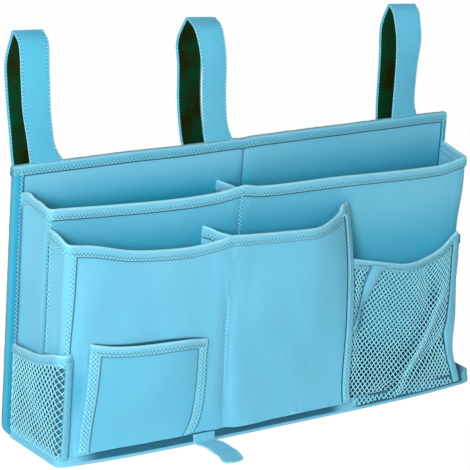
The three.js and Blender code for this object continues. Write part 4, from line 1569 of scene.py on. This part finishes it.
# The band's upper rows take the slot's painted shade, and two lower rows a faint painted highlight.
band_profile = [
    (0.0004, 0.0004, 0, 0), (0.0002, 0.0014, 0, 0), (0.0008, 0.0022, 0, 0.2), (0.0022, 0.0026, 0, 0.2),
    (0.0034, 0.0025, 0.15, 0), (0.0042, 0.0022, 1, 0), (0.0066, 0.0021, 1, 0), (0.0082, 0.0016, 1, 0),
    (0.0092, 0.0010, 1, 0), (0.0140, 0.0008, 1, 0), (0.0140, 0.0002, 1, 0), (0.0086, 0.0002, 1, 0),
]


def base_band_stations():
    front = [(-body_half, front_face_y), (body_half, front_face_y)]
    path, length = corner_path([(-body_half, base_high.y), *front, (body_half, base_high.y)], band_radius)
    stations = []
    for distance in even(0.0, length, band_step):
        here, out = path_frame(path, length, distance)
        at_front = eased((here.y - front_face_y) / -0.001 + 1)
        bowed = bow_at(here.x) * at_front if abs(here.x) < body_half else 0.0
        puff = 1 + crumple((here.x, here.y, 0), 0.012, 0.12, 32)
        outward = Vector((out.x, out.y, 0)) * puff
        stations.append((Vector((here.x, here.y - bowed, 0)), Vector((0, 0, 1)), outward))
    return stations


def slot_shade_at(i):
    """Painted shade on the band where the front wall's foot hangs over it, and where the front net covers it.
    """
    x = band_stations[i][0].x
    in_slot = eased((x - slot_start_x) / 0.03) * eased((slot_end_x - x) / 0.02)
    behind_net = eased((x - net_shade_start_x) / 0.004) * eased((body_half - 0.008 - x) / 0.004)
    return slot_shade * max(in_slot, behind_net)


band_stations = base_band_stations()
base_band = carry("base_band_tape", band_stations, band_profile, oxford_cloth, slot_shade_at)
finish_piece(base_band, "caddy", ["base_band"])
print("base", round(base_length, 4), "by", round(base_depth, 4))

# %% [markdown]
# The patch pocket is one cloth sewn onto the front wall at its sides and foot. Its mouth gapes a few
# millimetres, and the wall behind it has painted shade there. The pocket stands on the wall's own surface
# and follows each fold, and its sides and top are turned in as wide hems with two rows of stitches.

# %% Patch pocket
patch_tall = 0.0935
patch_wide = 0.1225
patch_foot = 0.0128
patch_lift = 0.0012
patch_gape = 0.0058
side_hem = 0.0105


def front_wall_at(x, z):
    along = along_front_wall(x)
    foot = front_foot(along)
    return front_face(along, (z - foot) / (front_top(along) - foot))


def patch_face(along, up):
    share = along / patch_wide
    z = mix(patch_foot, patch_top(share), up)
    x = mix(patch_left(z), patch_right(z), share)
    gape = patch_gape * arch(share) ** 0.8 * max(up, 0) ** 1.3
    belly = 0.0022 * arch(share) * arch(up)
    soft = crumple((x, 0, z), 0.05, 0.0007, 41)
    return Vector((x, front_wall_at(x, z).y - patch_lift - gape - belly - max(soft, -patch_lift / 2), z))


# The patch cloth gets an even painted shade through depth.
patch = lay_cloth("patch_pocket_cloth", patch_face, patch_wide, patch_tall, ["patch_pocket"], step=0.004,
                  depth=lambda along, drop: 0.24)


def patch_side(name, middle, inner_side, seams):
    """A side hem: a low strip with its lip towards the pocket's middle."""
    rows = [(offset, 0.001, patch_tall - 0.002) for offset in seams]
    lips = (inner_side < 0, inner_side > 0)
    return lay_strip(name, patch_face, patch_tall, lambda drop: middle, 0.0075, patch_tall - 0.0004,
                     lips=lips, seams=rows, proud=0.0008, line=0.7)


# Line sets the painted shade of the lips under the hems and the binding.
patch_left_hem = patch_side("patch_left_hem", side_hem / 2, 1, (-0.0030, 0.0010))
patch_right_hem = patch_side("patch_right_hem", patch_wide - side_hem / 2, -1, (0.0030, -0.0010))
patch_binding = bind_edge("patch_binding", patch_face, 0.0, patch_wide, patch_tall, band=0.0080, seed=42.0,
                          nodes=["patch_edging"], line=lambda along: 0.6)
print("patch pocket", patch_wide, "by", patch_tall)

# %% [markdown]
# The nets are warp-knitted: yarns zigzag up the cloth and meet their neighbours at every turn, which leaves
# diamond holes. The lines are worked out here, on the net's surface, and the yarn tree makes them round.
# Where the net is creased its yarns crowd together, so each crease also draws the lines towards it. The
# grain leans by a few degrees, as cut cloth often does.

# %% Net lines
net_pitch = 0.0056
net_top_gap = 0.002


def cut_line(line, width, top):
    """The runs of a flat line of points that lie on a cloth, each ended on the cloth's border."""

    def border(inner, outer):
        share = 1.0
        for here, there, high in ((inner[0], outer[0], width), (inner[1], outer[1], top)):
            if there < 0:
                share = min(share, here / (here - there))
            if there > high:
                share = min(share, (high - here) / (there - here))
        return mix(inner[0], outer[0], share), mix(inner[1], outer[1], share)

    runs, run = [], []
    for i, (across, up) in enumerate(line):
        if 0 <= across <= width and 0 <= up <= top:
            if not run and i:
                run.append(border((across, up), line[i - 1]))
            run.append((across, up))
        elif run:
            runs.append(run + [border(run[-1], (across, up))])
            run = []
    return runs + [run] if len(run) > 1 else runs


def near_crease(crease, tall, across, up):
    """A place's signed distance from a crease, how strongly the crease acts there, and the way across it."""
    (x0, u0), (x1, u1), width = crease["from"], crease["to"], crease["width"]
    run, rise = x1 - x0, (u1 - u0) * tall
    length = math.hypot(run, rise)
    px, pu = across - x0, (up - u0) * tall
    side = (px * rise - pu * run) / length
    share = (px * run + pu * rise) / (length * length)
    ends = eased((share + 0.12) / 0.2) * eased((1.12 - share) / 0.2)
    return side, ends * bell(side, width), (rise / length, -run / length)


def net_lines(surface, width, height, turn, creases=(), tall_pitch=net_pitch):
    """Zigzag yarns over a surface, two for each pitch, leaning opposite ways. Turn is the grain's angle."""
    reach = math.hypot(width, height) / 2
    columns, rows = math.ceil(reach / net_pitch), math.ceil(2 * reach / tall_pitch)
    grain = Matrix.Rotation(turn, 2)
    middle = Vector((width / 2, height / 2))
    lines = []
    for column in range(-columns, columns + 1):
        for lean in (-1, 1):
            flat = []
            for row in range(-rows, rows + 1):
                place = Vector((net_pitch * (column + lean * (row % 2) / 2), tall_pitch / 2 * row))
                flat.append(tuple(middle + grain @ place))
            for run in cut_line(flat, width, height - net_top_gap):
                line = []
                for across, rise in run:
                    up = rise / height
                    for crease in creases:
                        side, pull, (turn_x, turn_u) = near_crease(crease, height, across, up)
                        across = min(max(across - side * pull * crease["gather"] * turn_x, 0), width)
                        up -= side * pull * crease["gather"] * turn_u / height
                    line.append(surface(across, limited(up)))
                lines.append(line)
    return lines


def weave_net(name, lines, nodes):
    piece = grow(name, lines, yarn_tree, {"Yarn Radius": yarn_radius, "Sides": 5, "Material": net_yarn})
    print(name, len(lines), "yarns")
    return finish_piece(piece, "caddy", nodes)


# %% [markdown]
# The front net hangs from its band between the front wall's right end and the far corner. It is cut full,
# so it bellies out, falls into slanting creases and is tucked into one pleat under its band. A flat sheet
# with a net picture on it could not show that, so each yarn is a line on the bellied surface.

# %% Front net
side_net_foot = 0.0088
front_net_foot = 0.0060
front_net_width = 0.151
front_net_tall = 0.133
front_net_start = front_end_x - 0.002
front_net_foot_x = 0.2305
front_net_top_x = 0.2425
net_pinch = 0.0060
net_pinch_z = 0.036
front_net_top_y = rear_face_y - 0.0022
front_net_belly = 0.010
front_net_top = line_through([(0, 0.1513), (0.24, 0.1430), (0.52, 0.1345), (0.80, 0.1398), (1, 0.1545)])
front_creases = [
    {"from": (0.128, 0.66), "to": (0.062, 0.02), "width": 0.010, "gather": 0.55, "height": 0.003},
    {"from": (0.142, 0.36), "to": (0.030, 0.03), "width": 0.007, "gather": 0.45, "height": -0.003},
    {"from": (0.100, 0.98), "to": (0.110, 0.55), "width": 0.010, "gather": 0.20, "height": -0.003},
]
front_net_grain = math.radians(-8)


def front_net_face(along, up):
    share = along / front_net_width
    foot_x = mix(front_net_start, front_net_foot_x, share)
    mouth_x = mix(front_net_start, front_net_top_x, share)
    wall_share = (0.1513 - wall_foot) / (front_top_end - wall_foot)
    mouth_y = mix(front_face_y - front_offset(front_end_x, wall_share) + 0.0006, front_net_top_y, share)
    flare = max(1 - up, 0) ** 2.2
    z = mix(front_net_foot, front_net_top(share), up)
    height_share = (z - wall_foot) / (front_top_end - wall_foot)
    wall_y = front_face_y - front_offset(front_end_x, height_share)
    drawn_in = slant_at(front_end_x, height_share) * max(1 - share, 0) ** 1.5
    drawn_in += net_pinch * limited(share) ** 4 * bell(z - net_pinch_z, 0.022)
    held = eased(1 - share / 0.12)
    y = mix(mix(mouth_y, base_front(foot_x) - 0.0034, flare), wall_y + 0.0008, held)
    belly = front_net_belly * arch(share) * math.sin(math.pi * limited(up) * 0.75)
    ripple = crumple((along, 0, z), 0.035, 0.0022, 51) * arch(share)
    ridge = 0.0
    for crease in front_creases:
        ridge += crease["height"] * near_crease(crease, front_net_tall, along, up)[1]
    calm = eased((1.05 - up) / 0.15) * eased(up / 0.1) * eased(share / 0.08) * eased((1 - share) / 0.08)
    return Vector((mix(mouth_x, foot_x, flare) - drawn_in, y - belly - (ripple + ridge) * calm, z))


front_net = weave_net(
    "front_net_mesh",
    net_lines(front_net_face, front_net_width, front_net_tall, front_net_grain, front_creases),
    ["front_net"],
)
# Line sets the painted shade under the net's band; the edge tape below has a lip in painted shade.
front_net_band = bind_edge("front_net_binding", front_net_face, -0.0005, front_net_width, front_net_tall,
                           nodes=["front_net_band"], band=0.0072, thickness=yarn_radius * 2, seed=52.0,
                           line=lambda along: 0.5)


def net_edge_width(drop):
    return 0.0085 + 0.0065 * bell(drop - 0.086, 0.034)


def net_edge_middle(drop):
    return front_net_width - net_edge_width(drop) / 2 + 0.001


front_net_edge = lay_strip("front_net_edge_tape", front_net_face, front_net_tall, net_edge_middle, 0.002,
                           front_net_tall, lips=(True, False), wide=net_edge_width, proud=0.0018,
                           lift=yarn_radius)
pleat_long = 0.062
pleat_wide = 0.013


def pleat_face(along, up):
    """A pleat of doubled cloth: wide under the net's band, and slanting down into the seam at the left."""
    drop = mix(pleat_long, 0.003, up)
    left, right = mix(0.0000, 0.0232, up), mix(0.0065, 0.0430, up)
    share = limited(along / pleat_wide)
    raised = yarn_radius + 0.0008 + 0.0014 * arch(share) + 0.0012 * (1 - share)
    return lay_on(front_net_face, front_net_tall, mix(left, right, along / pleat_wide), drop, raised)


# Painted shade along the pleat's left edge, for the gap beside it.
pleat = lay_cloth("front_net_pleat", pleat_face, pleat_wide, pleat_long, thickness=0.0006,
                  step=0.0025, shade=lambda along, drop: 0.85 * groove(along, 0.0022))

# %% [markdown]
# The two side nets are plain pockets over the gussets, with a cloth band folded over the mouth. The left
# net reaches round the front corner, where a rolled tape ends it. The right one has no tape, and bulges out
# from the caddy's side.

# %% Side nets
side_net_out = 0.0024
side_band = 0.0090
side_tall_pitch = 0.0070
left_net_belly = 0.0060
right_net_belly = 0.0110
side_net_grain = math.radians(-6)
side_corner_radius = 0.006


def side_net(name, corners, belly_depth, tuck, tops, tall, seed, on_left):
    """A net over one side, laid along a line in plan view, so that its outside is on the line's right."""
    path, wide = corner_path(corners, side_corner_radius)
    top = line_through(tops)

    def face(along, up):
        share = limited(along / wide)
        here, out = path_frame(path, wide, share * wide)
        z = mix(side_net_foot, top(share), up)
        held = 1 - tuck * limited(up) ** 4
        belly = belly_depth * math.sqrt(arch(share)) * math.sqrt(max(up, 0)) * 0.9 * held
        ripple = crumple((0, here.y, z), 0.030, 0.0016, seed) * arch(share)
        flare = front_flare * math.exp(-(z - side_net_foot) / flare_height)
        flare *= eased((here.x + body_half) / 0.022)
        shift = belly + ripple * eased(up / 0.1) + (flare if on_left else 0.0)
        past = along - share * wide
        ahead = Vector((-out.y, out.x)) * past
        x = here.x + out.x * shift + ahead.x - waist_at(here.x, z)
        return Vector((x, here.y + out.y * shift + ahead.y, z))

    lines = net_lines(face, wide, tall, side_net_grain, tall_pitch=side_tall_pitch)
    mesh = weave_net(f"{name}_mesh", lines, [name])
    # Painted shade: a faint line under the band, and an even painted shade on the left net's edge tape.
    band = bind_edge(f"{name}_binding", face, 0.0, wide, tall, nodes=[f"{name}_band"], band=side_band,
                     thickness=yarn_radius * 2, seed=seed + 1, line=lambda along: 0.4)
    edge = []
    if on_left:
        edge = lay_strip(f"{name}_edge_tape", face, tall, lambda drop: wide - 0.0028, 0.004, tall,
                         wide=lambda drop: 0.0058, proud=0.0019, lift=yarn_radius, depth=0.2)
    print(name, round(wide, 4), "wide")


left_x = -body_half - side_net_out
right_x = body_half + side_net_out
side_back_y = rear_start_y - 0.0003
side_front_y = front_face_y - 0.003
left_corners = [(left_x, side_back_y), (left_x, side_front_y), (left_x + 0.0090, side_front_y)]
left_tops = [(0, 0.0950), (0.3, 0.0982), (0.6, 0.1022), (0.85, 0.1092), (1, 0.1098)]
right_corners = [(right_x, rear_face_y), (right_x + right_gusset_spread, side_back_y)]
right_tops = [(0, 0.1500), (0.4, 0.1430), (1, 0.1360)]
side_net("left_net", left_corners, left_net_belly, 0.0, left_tops, 0.094, 61.0, True)
side_net("right_net", right_corners, right_net_belly, 0.8, right_tops, 0.130, 63.0, False)

# %% [markdown]
# A strap is one length of cloth webbing, faced on the inside with hook-and-loop tape. It leaves the hem,
# rises, folds at its peak and comes down behind the panel. Two hinges stand for its bending, one at the hem
# and one at the fold; their places set where the strap is sewn and where it folds. It is made in two
# lengths that meet halfway up the front leg.

# %% Strap shape
loop_height = 0.114
landing_lift = 0.007
rise_heights = [0, 0.1, 0.40, 0.62, 0.80, 0.935, 1]
fall_heights = [0.76, 0.48, -0.06]
landing_heights = [-0.24, -0.36, -0.5, -0.72]
landing_lifts = [1, 0.24, 0.06, 0]
strap_half = 0.0142
tape_half = 0.0120
webbing = 0.0011
strap_tape = 0.0008
join_share = 0.5
strap_wobble = 0.0006
strap_steps = 30


def spline(points, share):
    """A place on a smooth line that goes through every point at an even rate."""
    last = len(points) - 1
    i = min(int(share * last), last - 1)
    rest = share * last - i
    p0, p1, p2, p3 = (points[min(max(i + k, 0), last)] for k in (-1, 0, 1, 2))
    slope_1, slope_2 = (p2 - p0) / 2, (p3 - p1) / 2
    square, cube = rest * rest, rest * rest * rest
    return (
        p1 * (2 * cube - 3 * square + 1)
        + p2 * (3 * square - 2 * cube)
        + slope_1 * (cube - 2 * square + rest)
        + slope_2 * (cube - square)
    )


def strap_curves(peak_depth, loop_depth, out_from_panel, shape):
    tall = shape["tall"] * loop_height
    rise = [Vector((d * peak_depth, h * tall)) for d, h in zip(shape["rise"], rise_heights)]
    fall = [rise[-1]] + [Vector((d * loop_depth, h * tall)) for d, h in zip(shape["fall"], fall_heights)]
    landing = zip(landing_lifts, landing_heights)
    fall += [Vector((out_from_panel + k * landing_lift, h * loop_height)) for k, h in landing]
    return rise, fall


def strap_stations(points, seam, half, shape, spread_at, under=0.0):
    """Stations along a strap's outer face, or under it: points are depths and heights from the seam."""
    shift_at, twist_at = line_through(shape["shifts"]), line_through(shape["twists"])
    stations = []
    for i, point in enumerate(points):
        ahead = (points[min(i + 1, len(points) - 1)] - points[max(i - 1, 0)]).normalized()
        share = limited(point.y / loop_height)
        turn = math.radians(twist_at(share))
        spread = spread_at(point.y) / 2
        across = Vector((math.cos(turn), -math.sin(turn), 0)) * (half + spread)
        out = across.cross(Vector((0, ahead.x, ahead.y))).normalized()
        place = Vector((seam.x + shift_at(share) + spread, seam.y + point.x, seam.z + point.y)) - out * under
        place.x += crumple((0, point.x, point.y), 0.05, strap_wobble, 71)
        place += out * crumple((0, point.x, point.y), 0.02, strap_wobble * 0.5, 72)
        stations.append((place, across, out))
    return stations


# Edge rows of the webbing: painted highlight and wear on the rolled edge, painted shade in the stitch groove.
webbing_edge = [
    (1.000, -0.00055, 0, 0.3), (1.000, -0.00015, 0, 0.9), (0.975, 0.00012, 0, 0.9), (0.920, 0.00012, 0, 0.5),
    (0.895, 0.00002, 0.25, 0), (0.860, -0.00018, 0.65, 0), (0.825, 0.00002, 0.15, 0), (0.790, 0.00008, 0, 0),
]
webbing_profile = webbing_edge + [(-a, b, crease, rim) for a, b, crease, rim in reversed(webbing_edge)]
webbing_profile += [(-0.960, -webbing, 0, 0), (0.960, -webbing, 0, 0)]
tape_half_profile = [(1.0, 0.0, 0, 0), (1.0, -strap_tape * 0.8, 0, 0), (0.94, -strap_tape, 0, 0)]
tape_profile = tape_half_profile + [(-a, b, crease, rim) for a, b, crease, rim in reversed(tape_half_profile)]
print("strap loops", loop_height, "m high")

# %% [markdown]
# The webbing, its inner tape and the stitches down both edges are carried along the same curve. The foot of
# each strap flares a little where it is sewn into the hem. Each strap has its own shape: how it bulges on
# its way up and down, how tall it stands, how far it leans to the side and how much it is twisted at each
# height.

# %% Straps
strap_stitch = {"pitch": 0.0034, "length": 0.0018, "radius": 0.00036}
flare_tall = 0.020
peak_spread = 0.0015
peak_spread_tall = 0.012


def make_strap(side, seam_joint, fold_joint, shape):
    seam = Vector(seam_joint["pos_m"])
    peak = Vector(fold_joint["pos_m"])
    back_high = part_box(f"strap_{side}_back")[1]
    out_from_panel = cover_high.y + 0.0033 - seam.y
    rise, fall = strap_curves(peak.y - seam.y, back_high.y - seam.y, out_from_panel, shape)
    whole = [spline(rise, i / strap_steps) for i in range(strap_steps + 1)]
    whole += [spline(fall, i / (strap_steps * 2)) for i in range(1, strap_steps * 2 + 1)]
    split = round(strap_steps * join_share)

    def spread_at(height):
        """How much the strap's right edge stands out, at its sewn foot and round its peak."""
        foot = shape["flare"] * limited(1 - height / flare_tall) ** 2 if height > -0.001 else 0.0
        return foot + peak_spread * bell(height - loop_height, peak_spread_tall)

    for part, points in {"foot": whole[: split + 1], "loop": whole[split:]}.items():
        foot_part = part == "foot"
        spread = spread_at if foot_part else lambda height: spread_at(max(height, flare_tall))
        stations = strap_stations(points, seam, strap_half, shape, spread)
        web = carry(f"strap_{side}_{part}", stations, webbing_profile, oxford_cloth, depth=shape["depth"])
        under = strap_stations(points, seam, tape_half, shape, spread, under=webbing)
        tape = carry(f"strap_{side}_{part}_tape", under, tape_profile, dark_tape)
        rows = [station_row(stations, edge, 0.00010) for edge in (0.860, -0.860)]
        rows += [station_row(stations, edge, -webbing - 0.00005) for edge in (0.90, -0.90)]
        threads = stitch(f"strap_{side}_{part}_stitches", rows, body=None, **strap_stitch)
        node = f"strap_{side}_front" if foot_part else f"strap_{side}_back"
        finish_piece(web, None, [node])
        finish_piece(tape, None, [f"{node}_tape"])
        turn = Vector((0, *shape["toward"]))
        start, end = peak - turn * shape["before"], peak + turn * shape["after"]
        for piece in (web, tape, threads):
            if foot_part:
                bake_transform(piece)
            else:
                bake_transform(piece)
                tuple(start)
                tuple(end)
        length = sum((b - a).length for a, b in zip(points, points[1:]))
        print(f"strap_{side}_{part}", round(length, 3), "long")


joints = {j["name"]: j for j in frame["joints"]}
# Depth is an even painted shade over each strap's webbing.
strap_shapes = {
    "left": {
        "rise": [0, 0.10, 0.42, 0.53, 0.61, 0.75, 1], "fall": [1, 0.94, 0.64],
        "tall": 1.016, "flare": 0.0085, "depth": 0.50,
        "shifts": [(0, 0.0016), (0.2, 0.0020), (0.5, 0.0028), (0.7, 0.0026), (0.91, 0.0034), (1, 0.0028)],
        "twists": [(0, 0), (0.2, 0), (0.33, 4.5), (0.5, 9), (0.68, 11), (0.91, 13), (1, 12)],
        "toward": (0.967, -0.246), "before": 0.006, "after": 0.006,
    },
    "center": {
        "rise": [0, 0.06, 0.22, 0.33, 0.45, 0.66, 1], "fall": [1, 0.92, 0.72],
        "tall": 0.993, "flare": 0.0055, "depth": 0.36,
        "shifts": [(0, 0.0013), (0.24, 0.0003), (0.42, 0.0010), (0.6, 0.0023), (0.77, 0.0019), (1, 0.0012)],
        "twists": [(0, 0), (0.55, 1), (0.77, 7), (0.92, 13), (1, 19)],
        "toward": (0.967, -0.246), "before": 0.006, "after": 0.006,
    },
    "right": {
        "rise": [0, 0.03, 0.18, 0.28, 0.40, 0.62, 1], "fall": [1, 0.96, 0.74],
        "tall": 0.990, "flare": 0.0055, "depth": 0.36,
        "shifts": [(0, 0.0016), (0.18, 0.0024), (0.45, 0.0050), (0.69, 0.0070), (0.81, 0.0062), (1, 0.0052)],
        "twists": [(0, 0), (0.45, 0), (0.69, 12), (0.81, 15), (1, 17)],
        "toward": (0.990, -0.130), "before": 0.0045, "after": 0.006,
    },
}
for side, shape in strap_shapes.items():
    make_strap(side, joints[f"{side}_strap_seam"], joints[f"{side}_strap_fold"], shape)

# %% [markdown]
# Behind the panel, under each strap's end, a patch of loop tape is sewn to the cover. It is a thin cloth
# with rounded edges, moved sideways with its strap. The strap's hook tape presses onto it.

# %% Loop patches
patch_edge = 0.0022
patch_inset = 0.0015
patch_stitch_inset = 0.002


def make_loop_patch(side, shape):
    low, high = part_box(f"loop_patch_{side}")
    low.z += patch_inset
    width, height = high.x - low.x - patch_inset * 2, high.z - low.z
    middle_x = (low.x + high.x) / 2 + shape["shifts"][-1][1]

    def face(along, up):
        round_edge = min(along, width - along, up * height, (1 - up) * height) / patch_edge
        lift = 0.0007 * eased(round_edge + 0.35)
        return Vector((middle_x + width / 2 - along, low.y + lift, mix(low.z, high.z, up)))

    node = f"loop_patch_{side}"
    piece = lay_cloth(f"{node}_tape", face, width, height, [node], dark_tape, thickness=0.0004,
                      step=0.002)
    middle_z = (low.z + high.z) / 2
    reach_x, reach_z = width / 2 - patch_stitch_inset, height / 2 - patch_stitch_inset
    corners = [(-1, -1), (1, -1), (1, 1), (-1, 1), (-1, -1)]
    line = [Vector((middle_x + a * reach_x, high.y + 0.0002, middle_z + b * reach_z)) for a, b in corners]
    threads = stitch(f"loop_patch_{side}_stitches", [line])


for side, shape in strap_shapes.items():
    make_loop_patch(side, shape)
print("loop patches", len(strap_shapes))

# %% [markdown]
# The bottom strap comes out of the slot over the base band, drops over the band and lies on the floor with
# a slight wave. Its tape is under it.

# %% Bottom strap
root_low, root_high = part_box("bottom_strap_root")
flap_tape_low, flap_tape_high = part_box("bottom_strap_tape")
flap_half = (flap_high.x - flap_low.x) / 2
flap_round = 0.007
flap_steps = 60


def bottom_strap_line():
    """Depths and heights from the slot to the tip."""
    band_y, floor_y = root_low.y, flap_high.y
    over_band = [(root_high.y, 0.0100), (band_y + 0.0006, 0.0098), (band_y, 0.0070)]
    over_band += [(band_y - 0.0004, 0.0038)]
    on_floor = [(floor_y - 0.0030, 0.0026), (floor_y - 0.012, 0.0031), (floor_y - 0.024, 0.0023)]
    tip = [(floor_y - 0.036, 0.0030), (floor_y - 0.046, 0.0022), (flap_low.y, 0.0021)]
    points = [Vector(p) for p in over_band + on_floor + tip]
    return [spline(points, i / flap_steps) for i in range(flap_steps + 1)]


def bottom_strap_stations(points, half, under=0.0):
    stations = []
    for i, point in enumerate(points):
        ahead = (points[min(i + 1, len(points) - 1)] - points[max(i - 1, 0)]).normalized()
        out = Vector((0, ahead.y, -ahead.x))
        from_tip = point.x - flap_low.y
        narrow = flap_round * (1 - math.sqrt(limited(1 - (1 - limited(from_tip / flap_round)) ** 2)))
        sway = 0.0035 * math.sin((point.x - root_low.y) / (flap_low.y - root_low.y) * math.pi * 1.2)
        sway *= eased((root_low.y - point.x) / 0.01)
        place = Vector((flap_x + sway, point.x, point.y)) - out * under
        stations.append((place, Vector((half - narrow, 0, 0)), out))
    return stations


bottom_line = bottom_strap_line()
bottom_stations = bottom_strap_stations(bottom_line, flap_half)
bottom_web = carry("bottom_strap_web", bottom_stations, webbing_profile, oxford_cloth)
bottom_rows = [station_row(bottom_stations, edge, 0.00016) for edge in (0.84, -0.84)]
bottom_threads = stitch("bottom_strap_stitches", bottom_rows, body=None, **strap_stitch)
finish_piece(bottom_web, None, ["bottom_strap_root", "bottom_strap_flap"])
flap_points = [p for p in bottom_line if p.x < flap_tape_high.y and p.x > flap_tape_low.y]
tape_stations = bottom_strap_stations(flap_points, (flap_tape_high.x - flap_tape_low.x) / 2, under=webbing)
bottom_tape = carry("bottom_strap_tape_pad", tape_stations, tape_profile, dark_tape)
finish_piece(bottom_tape, "bottom_strap", ["bottom_strap_tape"])
for piece in (bottom_web, bottom_threads):
    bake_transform(piece)
bottom_length = sum((b - a).length for a, b in zip(bottom_line, bottom_line[1:]))
print("bottom strap", round(bottom_length, 4), "long")
